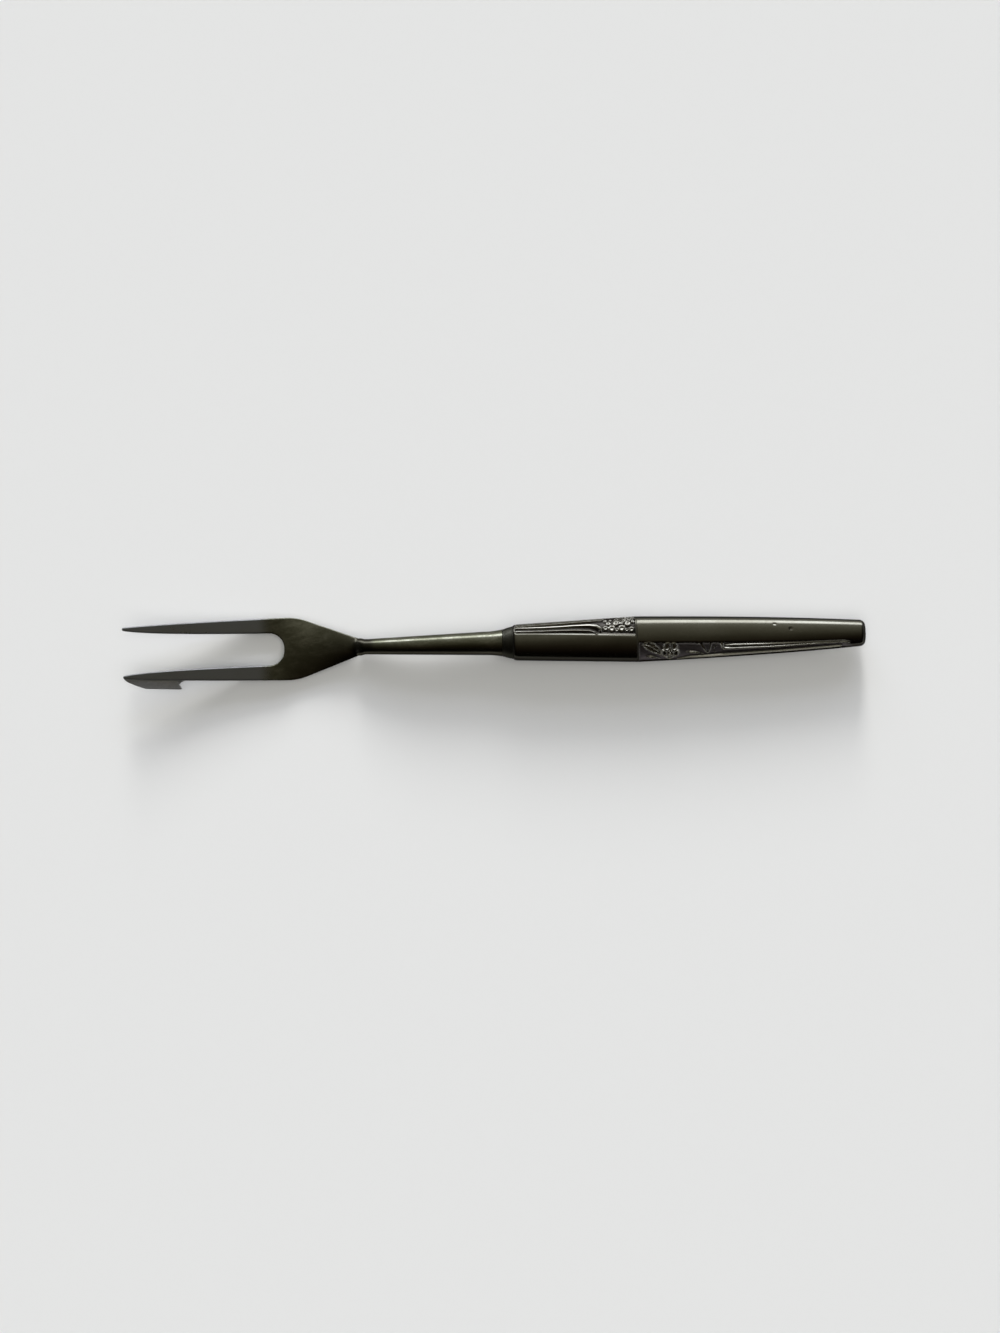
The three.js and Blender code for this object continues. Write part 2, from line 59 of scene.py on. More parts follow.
# %% Places along the fork
head_low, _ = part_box("fork_head")
collar_low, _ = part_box("handle_collar")
shell_low, shell_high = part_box("handle_upper_shell")
tip_x = head_low.x
collar_x = collar_low.x
shell_x = shell_low.x
butt_x = shell_high.x
axis_y = (shell_low.y + shell_high.y) / 2
axis_z = shell_low.z
shell_length = butt_x - shell_x
print(f"{(butt_x - tip_x) / mm:.1f} mm long, handle {shell_length / mm:.1f} mm")

# %% [markdown]
# ## Small tools
#
# Every skin here is a grid of points: stations along the fork, and columns across it. A grid
# can follow a drawn outline exactly and still have even, four-sided faces, which metal needs,
# because a mirror-like finish shows each uneven face. Sculpting or remeshing would be quicker
# to start, but it ripples the reflections. So the tools only turn grids into closed meshes.

# %% Blending numbers
def smoothstep(value, low, high):
    share = np.clip((value - low) / (high - low), 0, 1)
    return share * share * (3 - 2 * share)


def mix(start, end, share):
    return start + (end - start) * share


def quadratic(start, control, end, count=40):
    t = np.linspace(0, 1, count)[:, None]
    start, control, end = (np.asarray(point, float) for point in (start, control, end))
    return (1 - t) ** 2 * start + 2 * (1 - t) * t * control + t**2 * end


def arc(centre, radius, start_angle, end_angle, count=16):
    angles = np.radians(np.linspace(start_angle, end_angle, count))
    return np.asarray(centre) + radius * np.column_stack([np.cos(angles), np.sin(angles)])


def stations(*stretches):
    """Places from (start, end, spacing) stretches, each without its end, and then the last end."""
    places = []
    for start, end, spacing in stretches:
        count = max(1, round((end - start) / spacing))
        places.extend(mix(start, end, np.arange(count) / count))
    return np.array(places + [stretches[-1][1]])


print("a blend half way:", float(smoothstep(0.5, 0, 1)))


# %% Grids to faces, and faces to a closed piece
def grid_faces(rows, columns, start=0, around=False):
    index = start + np.arange(rows * columns).reshape(rows, columns)
    if around:
        index = np.hstack([index, index[:, :1]])
    corners = index[:-1, :-1], index[:-1, 1:], index[1:, 1:], index[1:, :-1]
    return np.stack(corners, axis=-1).reshape(-1, 4).tolist()


def strip_faces(first, second):
    """Faces between two equally long rows of point numbers."""
    return list(zip(first[:-1], first[1:], second[1:], second[:-1]))


def slab(top, bottom, walled_rows=None):
    """Points and faces of two grids, joined by walls along the edges of the walled rows."""
    rows, columns = top.shape[:2]
    count = rows * columns
    number = np.arange(count).reshape(rows, columns)
    faces = grid_faces(rows, columns) + grid_faces(rows, columns, count)
    for edge in (number[:, -1], number[:walled_rows, 0], number[0], number[-1]):
        faces += strip_faces(edge, edge + count)
    return np.vstack([top.reshape(-1, 3), bottom.reshape(-1, 3)]), faces


weld = 0.0002 * mm


def link_object(name, data):
    made = bpy.data.objects.new(name, data)
    bpy.context.scene.collection.objects.link(made)
    return made


def make_piece(name, points, faces, masks=None, crease_angle=38):
    """A closed, smooth-shaded mesh, with one number per point for each mask."""
    points = np.asarray(points, float) + (0, axis_y, 0)
    mesh = bpy.data.meshes.new(name)
    mesh.from_pydata(points.tolist(), [], [tuple(map(int, face)) for face in faces])
    for mask, values in (masks or {}).items():
        layer = mesh.attributes.new(mask, "FLOAT", "POINT")
        layer.data.foreach_set("value", np.asarray(values, np.float32).ravel())
    work = bmesh.new()
    work.from_mesh(mesh)
    bmesh.ops.remove_doubles(work, verts=work.verts, dist=weld)
    bmesh.ops.dissolve_degenerate(work, edges=work.edges, dist=weld)
    bmesh.ops.recalc_face_normals(work, faces=work.faces)
    open_edges = sum(not edge.is_manifold for edge in work.edges)
    work.to_mesh(mesh)
    work.free()
    mesh.shade_smooth()
    mesh.set_sharp_from_angle(angle=math.radians(crease_angle))
    counts = f"{len(mesh.vertices)} points, {len(mesh.polygons)} faces, {open_edges} open edges"
    print(f"{name}: {counts}")
    return link_object(name, mesh)


# %% [markdown]
# ## The head
#
# The head is a forging: two long tines with a round-ended slot between them, a flat root with
# rounded shoulders, and a shank that starts round and swells into a bolster. It could be cut
# from an extruded outline, but then each edge would be knife sharp. Here two sheets of points,
# the top and the bottom, are laid between the slot's edge and the outer edge. The true distance
# of each point from the edge rounds it over, as grinding and years of polish do.

# %% Outline of the head, seen from above
tine_length = 36.6 * mm
root_length = 18.6 * mm
head_width = 14.4 * mm
tip_spread = 11.0 * mm
tip_radius = 0.425 * mm
slot_width = 7.4 * mm
slot_end_radius = 3.4 * mm
shoulder_round = 2.4 * mm
shank_fillet = 1.6 * mm
plate_half = 1.0 * mm
shank_radius = 1.75 * mm

slot_end_x = tip_x + tine_length
shoulder = np.array([slot_end_x + 3.0 * mm, head_width / 2])
shank_x = slot_end_x + root_length
shank_corner = np.array([shank_x, math.sqrt(shank_radius**2 - plate_half**2)])
tip_centre = np.array([tip_x + tip_radius, tip_spread / 2])
tip_outer = tip_centre + (0, tip_radius)
tip_inner = tip_centre - (0, tip_radius)
slope_down = (shank_corner - shoulder) / np.linalg.norm(shank_corner - shoulder)
shoulder_start = shoulder - (shoulder_round, 0)
shoulder_end = shoulder + slope_down * shoulder_round
fillet_start = shank_corner - slope_down * shank_fillet
outer_bow, inner_bow = np.array([0.33, 0.65]), np.array([0.18, 0.82])
tine_bow = mix(tip_outer, shoulder_start, outer_bow)
slot_edge = np.array([slot_end_x - slot_end_radius, slot_width / 2])
slot_centre = slot_edge - (0, slot_end_radius)
slot_bow = mix(tip_inner, slot_edge, inner_bow)

outer_edge = np.vstack([
    arc(tip_centre, tip_radius, 180, 90),
    quadratic(tip_outer, tine_bow, shoulder_start)[1:],
    quadratic(shoulder_start, shoulder, shoulder_end)[1:],
    quadratic(fillet_start, shank_corner, (shank_x + shank_fillet, shank_corner[1])),
])
inner_edge = np.vstack([
    arc(tip_centre, tip_radius, 180, 270),
    quadratic(tip_inner, slot_bow, slot_edge)[1:],
    arc(slot_centre, slot_end_radius, 90, 0, 30)[1:],
    [(slot_end_x + 0.004 * mm, 0), (collar_x, 0)],
])
print("outline points:", len(outer_edge), "outside,", len(inner_edge), "in the slot")

# %% Stations along the head
tine_spacing, root_spacing = 0.45 * mm, 0.3 * mm
shank_spacing, bolster_spacing = 0.6 * mm, 0.25 * mm
bolster_length = 4.2 * mm
bolster_x = collar_x - bolster_length
past_fillet_x = shank_x + 2.5 * mm
tip_steps = tip_x + tip_radius * (1 - np.cos(np.radians(np.arange(12, 90, 13))))
slot_steps = slot_edge[0] + slot_end_radius * np.sin(np.radians(np.arange(0, 90, 5)))
behind_slot = slot_end_x + np.array([0, 0.01, 0.04, 0.09, 0.16, 0.25, 0.36]) * mm
head_x = np.concatenate([
    tip_steps,
    stations((tip_x + tip_radius, slot_edge[0], tine_spacing))[:-1],
    slot_steps,
    behind_slot,
    stations(
        (slot_end_x + 0.6 * mm, past_fillet_x, root_spacing),
        (past_fillet_x, bolster_x, shank_spacing),
        (bolster_x, collar_x, bolster_spacing),
    ),
])
print("stations along the head:", len(head_x))

# %% Heights seen from the side: the tines rise to their tips, the shank to the handle
tip_half = 0.45 * mm
tip_rise = 4.2 * mm
neck_length = 34 * mm
tine_curve_share = 0.8
curve_points = 200
tine_curve_x = mix(tip_x, slot_end_x, tine_curve_share)


def along_tines(x, at_tip):
    """A size that runs in one bow from the tips to half a plate's thickness at the slot's end."""
    tip, bend, end = (tip_x, at_tip), (tine_curve_x, plate_half), (slot_end_x, plate_half)
    bow = quadratic(tip, bend, end, curve_points)
    return np.interp(x, bow[:, 0], bow[:, 1])


def middle_height(x):
    neck = mix(plate_half, axis_z, smoothstep(x, slot_end_x, slot_end_x + neck_length))
    return np.where(x < slot_end_x, along_tines(x, tip_rise + tip_half), neck)


def half_thickness(x):
    return along_tines(x, tip_half)


tip_height, shank_height = middle_height(tip_x) / mm, middle_height(collar_x) / mm
print(f"tips rise to {tip_height:.2f} mm, shank axis at {shank_height:.2f} mm")

# %% Section of the shank and its bolster
blend_length = 4.2 * mm
shank_end_half = 2.7 * mm
bolster_half_width = 3.1 * mm
bolster_half_depth = 2.7 * mm


def shank_section(x):
    """Half width and half depth of the round shank, growing out of the flat root."""
    grow = np.clip((x - (shank_x - blend_length)) / blend_length, 0, 1)
    swell = smoothstep(grow, 0, 1)
    root_half = mix(head_width / 2, shank_radius, 1 - blend_length / (shank_x - shoulder[0]))
    nose_width = mix(root_half * swell, shank_radius, grow)
    nose_depth = mix(plate_half / 2, shank_radius, swell)
    straight = mix(shank_radius, shank_end_half, (x - shank_x) / (bolster_x - shank_x))
    flare = np.clip((x - bolster_x) / (collar_x - bolster_x), 0, 1)
    width = np.where(x < bolster_x, straight, mix(shank_end_half, bolster_half_width, flare**2))
    flat = mix(1, bolster_half_depth / bolster_half_width, smoothstep(x, shank_x, collar_x))
    in_root = x < shank_x
    half_width = np.where(in_root, np.maximum(nose_width, nose_depth), width)
    half_depth = np.where(in_root, nose_depth, width * flat)
    started = x > shank_x - blend_length
    return half_width * started, half_depth * started


print(f"shank half width at the root: {shank_section(np.array(shank_x))[0] / mm:.2f} mm")

# %% Lay the points across the head
columns = 28
edge_round = 0.28 * mm
wall_blend = 0.5 * mm

share = np.linspace(0, 1, columns + 1)
both_ends = (1 - np.cos(np.pi * share)) / 2
outer_end = np.sin(np.pi * share / 2)
toward_shank = smoothstep(head_x, slot_end_x, shank_x - 3 * mm)[:, None]
spread = mix(both_ends, outer_end, toward_shank)

outline_y = np.interp(head_x, outer_edge[:, 0], outer_edge[:, 1])
nose_y, nose_z = shank_section(head_x)
plate_ends = head_x > shank_x + shank_fillet
outer_y = np.where(plate_ends, nose_y, np.maximum(outline_y, nose_y))
inner_y = np.interp(head_x, inner_edge[:, 0], inner_edge[:, 1])
x = np.repeat(head_x[:, None], columns + 1, axis=1)
y = mix(inner_y[:, None], outer_y[:, None], spread)

outer_slope = np.gradient(outline_y, head_x)[:, None]
inner_slope = np.gradient(inner_y, head_x)[:, None]
from_outside = (outline_y[:, None] - y) / np.sqrt(1 + outer_slope**2)
from_slot = (y - inner_y[:, None]) / np.sqrt(1 + inner_slope**2)
above_slot_centre = np.maximum(y - slot_centre[1], 0)
from_slot_end = np.hypot(x - slot_centre[0], above_slot_centre) - slot_end_radius
from_slot = np.where(x > slot_edge[0], from_slot_end, from_slot)
from_tip = tip_radius - np.hypot(x - tip_centre[0], y - tip_centre[1])
from_edge = np.minimum(from_outside, from_slot)
from_edge = np.where(x < tip_centre[0], np.maximum(from_tip, 0), from_edge)
print(f"widest place inside the head: {from_edge.max() / mm:.2f} mm from an edge")


# %% Round the edges and grow the shank out of the root
most_rounding = 0.6


def rounded_plate(x, from_edge):
    """Half thickness of the plate, rounded over near its edge and falling away beyond it."""
    half = half_thickness(x)
    rounding = np.minimum(edge_round, half * most_rounding)
    inside = rounding - np.clip(from_edge, 0, rounding)
    plate = half - (rounding - np.sqrt(np.maximum(rounding**2 - inside**2, 0)))
    beyond = 1 - smoothstep(-from_edge, 0, wall_blend)
    return plate * beyond


def joined(plate, nose, softness):
    """The higher of two surfaces, with a soft fillet where they cross."""
    gap = plate - nose
    return (plate + nose + np.sqrt(gap**2 + softness**2) - softness) / 2


crown_drop = 0.72 * mm
fillet_end_x = shank_x + shank_fillet
plate_height = rounded_plate(x, from_edge) * (1 - smoothstep(x, shank_x, fillet_end_x))
with np.errstate(divide="ignore", invalid="ignore"):
    across_nose = np.where(nose_y[:, None] > 0, y / nose_y[:, None], 1)
nose_height = nose_z[:, None] * np.sqrt(np.clip(1 - across_nose**2, 0, 1))
softness = 0.25 * mm * (1 - smoothstep(x, shank_x - 1.5 * mm, fillet_end_x))
crowned = smoothstep(x, slot_end_x - 2.5 * mm, slot_end_x + 4 * mm)
across_root = np.clip(y / outline_y[:, None], 0, 1)
drop = crown_drop * crowned * across_root**2 * plate_height / plate_half
crowned_height = plate_height - drop
has_nose = nose_z[:, None] > 0
top_height = np.where(has_nose, joined(crowned_height, nose_height, softness), crowned_height)
height = np.where(has_nose, joined(plate_height, nose_height, softness), plate_height)
middle = middle_height(x)
print(f"thickest place of the head: {2 * height.max() / mm:.2f} mm")

# %% Join top, bottom and walls, and mirror them to the other tine
top = np.stack([x, y, middle + top_height], axis=-1)
bottom = np.stack([x, y, middle - height], axis=-1)
slot_rows = int(np.argmax(inner_y <= 0)) + 1
half_points, half_faces = slab(top, bottom, slot_rows)
head_points = np.vstack([half_points, half_points * (1, -1, 1)])
head_faces = half_faces + [[corner + len(half_points) for corner in face] for face in half_faces]
print("points on the head:", len(head_points))

# %% Masks for the head: worn tines, and painted shade on the neck and on the near side of the shank
place = head_points[:, 0]
worn = 1 - smoothstep(place, slot_end_x - 6.4 * mm, slot_end_x - 2.4 * mm)
# The neck mask is painted shade: it darkens the root toward the neck and the near side of the
# shank, where the metal would mirror lit paper.
toward_neck = smoothstep(place, slot_end_x + 4 * mm, shank_x - 2.5 * mm)
at_neck = smoothstep(place, shank_x - 4 * mm, shank_x - 1 * mm)
past_neck = smoothstep(place, shank_x + 1.2 * mm, shank_x + 2.8 * mm)
toward_near_edge = -head_points[:, 1] / np.interp(place, head_x, outer_y)
on_shank = smoothstep(place, shank_x - 1 * mm, shank_x + 1 * mm)
shank_side_shade = smoothstep(toward_near_edge, 0.46, 0.66) * on_shank
neck = np.maximum(mix(at_neck, toward_neck, 0.72) * (1 - past_neck), shank_side_shade)
head_masks = {"worn": worn, "neck": neck}
head_skin = make_piece("fork_head_forging", head_points, head_faces, head_masks)

# %% [markdown]
# ## The barb
#
# One tine carries a barb along its outer edge, ground thinner than the tine and ending in a
# hook with a small nick behind it. It holds a slice while the fork is lifted. A boolean cut
# could make the nick, but would leave long thin faces. Ribs from the tine to the barb's own
# outline need no cut, if none of them crosses the nick, so they lean forward near the hook.

# %% Outline of the barb and the ribs under it
barb_reach = 2.05 * mm
hook_x = tip_x + 13.1 * mm
ramp_x = tip_x + 5.0 * mm
hook_round = 0.65 * mm
nick_depth = 1.1 * mm
barb_heel = 0.65 * mm
barb_root = 0.45 * mm


def tine_edge(x):
    return np.interp(x, outer_edge[:, 0], outer_edge[:, 1])


barb_edge_y = float(tine_edge(hook_x)) + barb_reach
hook_point = np.array([hook_x, barb_edge_y - 0.2 * mm])
nick_bottom = np.array([hook_x - hook_round, barb_edge_y - nick_depth])
heel_point = np.array([hook_x + barb_heel, float(tine_edge(hook_x + barb_heel)) + 0.01 * mm])
ramp_point = np.array([ramp_x, float(tine_edge(ramp_x)) + barb_reach])
before_hook_x = hook_x - hook_round
before_hook = np.array([before_hook_x, float(tine_edge(before_hook_x)) + barb_reach])
barb_start = np.array([tip_x + 0.12 * mm, tip_spread / 2 + 0.25 * mm])
barb_bend = barb_start + (0, 0.85 * mm)
hook_bend = (hook_x - 0.12 * mm, before_hook[1])
nick_bend = mix(hook_point, nick_bottom, 0.55) - (0, 0.08 * mm)
heel_bend = nick_bottom + (0.5 * mm, -0.62 * mm)

barb_curves = [
    quadratic(barb_start, barb_bend, ramp_point, 26),
    quadratic(ramp_point, (ramp_point + before_hook) / 2, before_hook, 28),
    quadratic(before_hook, hook_bend, hook_point, 8),
    quadratic(hook_point, nick_bend, nick_bottom, 8),
    quadratic(nick_bottom, heel_bend, heel_point, 12),
]
barb_outline = np.vstack(barb_curves)
feet_from_hook = np.array([-2.3 * mm, -1.9 * mm, -1.2 * mm, barb_heel])
curve_feet = [tip_x + 0.35 * mm, ramp_x, *(hook_x + feet_from_hook)]
rib_x = np.concatenate([
    np.linspace(start, end, len(curve))
    for curve, start, end in zip(barb_curves, curve_feet, curve_feet[1:])
])
rib_root = np.minimum(barb_root, (rib_x - tip_x) * 0.2)
rib_foot = np.column_stack([rib_x, tine_edge(rib_x) - rib_root])
print("ribs in the barb:", len(rib_x))

# %% Skin of the barb, thinner toward its edge
rib_share = np.array([0, 0.12, 0.25, 0.4, 0.55, 0.7, 0.82, 0.9, 0.96, 1])
edge_thickness = 0.42
edge_bevel = 0.55
barb_xy = mix(rib_foot[:, None, :], barb_outline[:, None, :], rib_share[None, :, None])
barb_x, barb_y = barb_xy[..., 0], barb_xy[..., 1]
barb_middle = middle_height(barb_x)
barb_height = half_thickness(barb_x) / 2 * mix(1, edge_thickness, smoothstep(rib_share, 0.2, 1))
barb_height[:, -1] *= edge_bevel
barb_top = np.stack([barb_x, -barb_y, barb_middle + barb_height], axis=-1)
barb_bottom = np.stack([barb_x, -barb_y, barb_middle - barb_height], axis=-1)
barb_skin = make_piece("fork_head_barb", *slab(barb_top, barb_bottom), crease_angle=50)

# %% Tang, the square bar that the handle hides
tang_length = 44 * mm
tang_root = 1.2 * mm
tang_end = 0.75 * mm


def square_loop(x, half):
    corners = (half, half), (-half, half), (-half, -half), (half, -half)
    return [(x, y, axis_z + z) for y, z in corners]


tang_start = square_loop(collar_x - 0.5 * mm, tang_root)
tang_points = tang_start + square_loop(collar_x + tang_length, tang_end)
tang_faces = grid_faces(2, 4, around=True) + [(3, 2, 1, 0), (4, 5, 6, 7)]
tang = make_piece("fork_head_tang", tang_points, tang_faces)

# %% [markdown]
# ## The collar
#
# The collar is a turned ring that covers the mouth of the shells. It flares toward the handle
# and has a fine bead at each end, where it meets its neighbours. Turned rings are usually spun
# with the Screw modifier, but this one is wider than it is deep, so loops of points are lofted
# through its profile instead: over the outside, into the shells, and back through the bore.

# %% Loft the collar
collar_length = shell_x - collar_x
collar_sides = 112
collar_back_width = 3.8 * mm
collar_back_depth = 2.7 * mm
spigot_width, spigot_depth = 3.15 * mm, 2.03 * mm
spigot_length = 3.0 * mm
bore_radius = 1.72 * mm
angles = np.linspace(0, 2 * np.pi, collar_sides, endpoint=False)

# Each place has its share along the collar, and how far it stands in from the cone, in mm.
collar_profile = [
    (0, 0.22), (0.01, 0.12), (0.035, 0.04), (0.07, 0), (0.13, 0), (0.17, 0.045), (0.2, 0.06),
    (0.23, 0.045), (0.27, 0.01), (0.4, 0), (0.55, 0), (0.7, 0), (0.76, 0.01), (0.8, 0.045),
    (0.83, 0.06), (0.86, 0.045), (0.9, 0), (0.955, 0), (0.985, 0.05), (1, 0.16),
]


def collar_loop(along, half_width, half_depth):
    return np.column_stack([
        np.full(collar_sides, collar_x + along),
        half_width * np.cos(angles),
        axis_z + half_depth * np.sin(angles),
    ])


loops = []
for along, inset in collar_profile:
    width = mix(bolster_half_width, collar_back_width, along) - inset * mm
    depth = mix(bolster_half_depth, collar_back_depth, along) - inset * mm
    loops.append(collar_loop(along * collar_length, width, depth))
loops += [
    collar_loop(collar_length, spigot_width, spigot_depth),
    collar_loop(collar_length + spigot_length, spigot_width, spigot_depth),
    collar_loop(collar_length + spigot_length, bore_radius, bore_radius),
    collar_loop(0, bore_radius, bore_radius),
    loops[0],
]
collar_faces = grid_faces(len(loops), collar_sides, around=True)
collar_skin = make_piece("handle_collar_ring", np.vstack(loops), collar_faces)

# %% [markdown]
# ## The struck shells
#
# The handle is two half shells of thin sheet, struck in one die and joined along both sides.
# Each has a sunk panel beside one seam in front of the belly, and one beside the other seam
# behind it. Flowers, leaves and reeds stand up in the panels. A bump map could draw them, but
# bumps vanish at the outline and don't catch the light of a window as real ridges do. So the
# ornament is a height for each point of a fine grid, which is also how a die is cut.

# %% Section of the handle
belly_x = 28.3 * mm
belly_half_width = (shell_high.y - shell_low.y) / 2
belly_half_depth = shell_high.z - shell_low.z
shoulder_half_width = 4.12 * mm
shoulder_half_depth = 3.0 * mm
butt_half_width = 2.95 * mm
butt_half_depth = 2.2 * mm
mouth_round = 1.5 * mm
mouth_inset = 0.27 * mm
butt_round = 1.2 * mm
shell_wall = 0.5 * mm
rear_bow = 0.6, 0.31


def tapered(x, at_shoulder, at_belly, at_butt):
    """A size that grows evenly to the belly, and then falls to the butt in a bow."""
    bend = (mix(belly_x, shell_length, rear_bow[0]), mix(at_belly, at_butt, rear_bow[1]))
    rear = quadratic((belly_x, at_belly), bend, (shell_length, at_butt), 300)
    front = mix(at_shoulder, at_belly, x / belly_x)
    return np.where(x < belly_x, front, np.interp(x, rear[:, 0], rear[:, 1]))


def rounded_in(x):
    """How far the rounded shoulder and butt stand in from the straight outline."""
    front = np.clip(1 - x / mouth_round, 0, 1)
    butt = np.clip(1 - (shell_length - x) / butt_round, 0, 1)
    return mouth_inset * (1 - np.sqrt(1 - front**2)) + butt_round * (1 - np.sqrt(1 - butt**2))


def half_width_at(x):
    return tapered(x, shoulder_half_width, belly_half_width, butt_half_width)


def half_depth_at(x):
    return tapered(x, shoulder_half_depth, belly_half_depth, butt_half_depth)


def on_section(x, angle, sunk):
    """Points on the oval section, moved in along its normal by the sunk depth."""
    half_width = half_width_at(x) - rounded_in(x)
    half_depth = half_depth_at(x) - rounded_in(x)
    normal = np.stack([np.cos(angle) / half_width, np.sin(angle) / half_depth])
    normal /= np.linalg.norm(normal, axis=0)
    y = half_width * np.cos(angle) - sunk * normal[0]
    z = half_depth * np.sin(angle) - sunk * normal[1]
    return np.stack([x, y, z], axis=-1)


belly_width, belly_depth = 2 * belly_half_width / mm, 2 * belly_half_depth / mm
print(f"handle: {belly_width:.1f} mm wide and {belly_depth:.1f} mm deep at the belly")

# %% Lay out the two panels
panel_depth = 0.42 * mm
panel_rib = 0.5 * mm
lip_places = np.array([0, 0.08, 0.2, 0.45, 0.6, 0.78, 0.86]) * mm
lip_drops = np.array([0, 0.02, 0.09, 0.42, 0.72, 0.97, 1.0])
end_wall = 0.3 * mm
butt_fade = 3.2 * mm
seam_lip, seam_rim = 0.12 * mm, 0.5 * mm
front_setback, rear_setback = 0.35 * mm, 2.6 * mm
front_length = belly_x - panel_rib / 2 - front_setback
rear_length = shell_length - rear_setback - belly_x - panel_rib / 2
angle_at_belly = math.radians(86)
angle_at_mouth = math.radians(65)
angle_at_butt = math.radians(66)


def panel_angle(x):
    front = mix(angle_at_belly, angle_at_mouth, (belly_x - x) / belly_x)
    rear = mix(angle_at_belly, angle_at_butt, (x - belly_x) / (shell_length - belly_x))
    return np.where(x < belly_x, front, rear)


def breadth_at(x):
    return panel_angle(x) * (half_width_at(x) + half_depth_at(x)) / 2


print(f"panels {front_length / mm:.1f} and {rear_length / mm:.1f} mm long")

# %% [markdown]
# ### Cutting the ornament
#
# A die cutter works in strokes: a reed is one long cut of the same gouge, a leaf a stroke that
# swells and thins, a petal a short broad one. The same idea works here. A stroke is a path
# with a width and a height at each of its points, and the height of the metal is that of the
# highest stroke above a place. Paths are given as shares of the panel, first along it from the
# belly outward, then across it from the seam to the plain band.

# %% Strokes
flat_top = 0.26
top_softness = 0.2
deepest_cut = 0.12 * mm
petals = 5
blade_widths = np.array([0.12, 0.62, 0.92, 1.0, 0.86, 0.5, 0.08])
blade_heights = np.array([0.5, 0.85, 1, 1, 0.95, 0.8, 0.5])


def crest(distance):
    """Height of a ridge: 1 on its flat top, then steep flanks down to 0 at a distance of 1."""
    rise = np.clip((1 - distance) / (1 - flat_top), 0, 1)
    return mix(rise, smoothstep(rise, 0, 1), top_softness)


def sized(path, half_widths, heights):
    """Places for a stroke, from a path and the sizes along it."""
    return [(*place, *sizes) for place, *sizes in zip(path, half_widths, heights)]


class Panel:
    """The flat drawing of one panel, in metres: u runs along it and v across it."""

    def __init__(self, u, share_across, length, side):
        self.length, self.side = length, side
        self.u = u
        self.v = share_across * self.breadth(u)
        self.height = np.zeros_like(u)

    def breadth(self, u):
        return breadth_at(belly_x + self.side * (u + panel_rib / 2))

    def place(self, along, across):
        u = along * self.length
        return u, across * float(self.breadth(u))

    def raise_to(self, height):
        self.height = np.maximum(self.height, height)

    def stroke(self, places, cut=False, flank=None):
        """Raises a ridge along a path, or cuts a groove into what is there.

        Each place has its shares along and across, a half width and a height, both in mm.
        A flank, also in mm, makes the ridge a plateau with edges of that width."""
        made = np.zeros_like(self.u)
        for (a0, c0, width0, height0), (a1, c1, width1, height1) in zip(places, places[1:]):
            (u0, v0), (u1, v1) = self.place(a0, c0), self.place(a1, c1)
            du, dv = u1 - u0, v1 - v0
            share = np.clip(((self.u - u0) * du + (self.v - v0) * dv) / (du * du + dv * dv), 0, 1)
            away = np.hypot(self.u - u0 - share * du, self.v - v0 - share * dv)
            half_width = mix(width0, width1, share) * mm
            if flank:
                away = np.maximum(away - half_width + flank * mm, 0)
                half_width = flank * mm
            height = mix(height0, height1, share) * mm
            made = np.maximum(made, height * crest(away / half_width))
        if cut:
            self.height = np.maximum(self.height - made, -deepest_cut)
        else:
            self.raise_to(made)

    def dome(self, along, across, radius, height, dimple=0.0):
        u0, v0 = self.place(along, across)
        away = np.hypot(self.u - u0, self.v - v0) / (radius * mm)
        round_top = np.sqrt(1 - np.clip(away, 0, 1) ** 2)
        self.raise_to(height * mm * (round_top - dimple * crest(away / 0.5)))

    def blossom(self, along, across, radius, turn, height, cupped):
        """Open, cupped petals round a low boss with three beads, in shares of the radius."""
        u0, v0 = self.place(along, across)
        du, dv = (self.u - u0) / (radius * mm), (self.v - v0) / (radius * mm)
        away, bearing = np.hypot(du, dv), np.arctan2(dv, du) - math.radians(turn)
        for k in range(petals):
            local = (bearing - 2 * math.pi * k / petals + math.pi) % (2 * math.pi) - math.pi
            out, side = away * np.cos(local), away * np.sin(local)
            broad = 0.36 + 0.16 * smoothstep(out, 0.2, 0.75)
            from_middle = np.hypot((out - 0.6) / 0.42, side / broad)
            petal = np.clip((1 - from_middle) / 0.34, 0, 1)
            cup = cupped * smoothstep(0.66 - from_middle, 0, 0.22)
            self.raise_to(height * mm * (petal - cup) * (out > 0))
        self.raise_to(height * 0.3 * mm * crest(away / 0.4))
        for k in range(3):
            around = 2.1 * k + 0.5
            bead = np.hypot(du - 0.15 * math.cos(around), dv - 0.15 * math.sin(around))
            self.raise_to(height * 0.95 * mm * crest(bead / 0.16))

    def leaf(self, start, bend, end, width, height, veins, hollow=0.0):
        """A leaf with a midrib and side veins: cut into it, or raised in the hollow of its rim."""
        middle = quadratic(start, bend, end, len(blade_widths))
        blade = middle[:-1]
        widths, heights = blade_widths * width, blade_heights * height
        self.stroke(sized(middle, widths, heights), flank=0.34 if hollow else None)
        if hollow:
            self.stroke(sized(blade, widths - 0.26, heights * hollow), cut=True, flank=0.2)
            self.stroke(sized(blade, [0.15] * 6, heights * 0.7))
            vein_root, vein_end = (0.1, 0.5 * height), (0.09, 0.5 * height)
        else:
            self.stroke(sized(blade, [0.17] * 6, [0.24] * 6), cut=True)
            vein_root, vein_end = (0.13, 0.2), (0.1, 0.1)
        for k in range(1, veins + 1):
            (a, c), (b, d) = middle[k], middle[min(k + 1, 6)]
            tilt = 0.9 * widths[k] * mm / float(self.breadth(b * self.length))
            for end_across in (d - tilt, d + tilt):
                self.stroke([(a, c, *vein_root), (b, end_across, *vein_end)], cut=not hollow)


print("crest half way down:", round(float(crest(0.5)), 2))


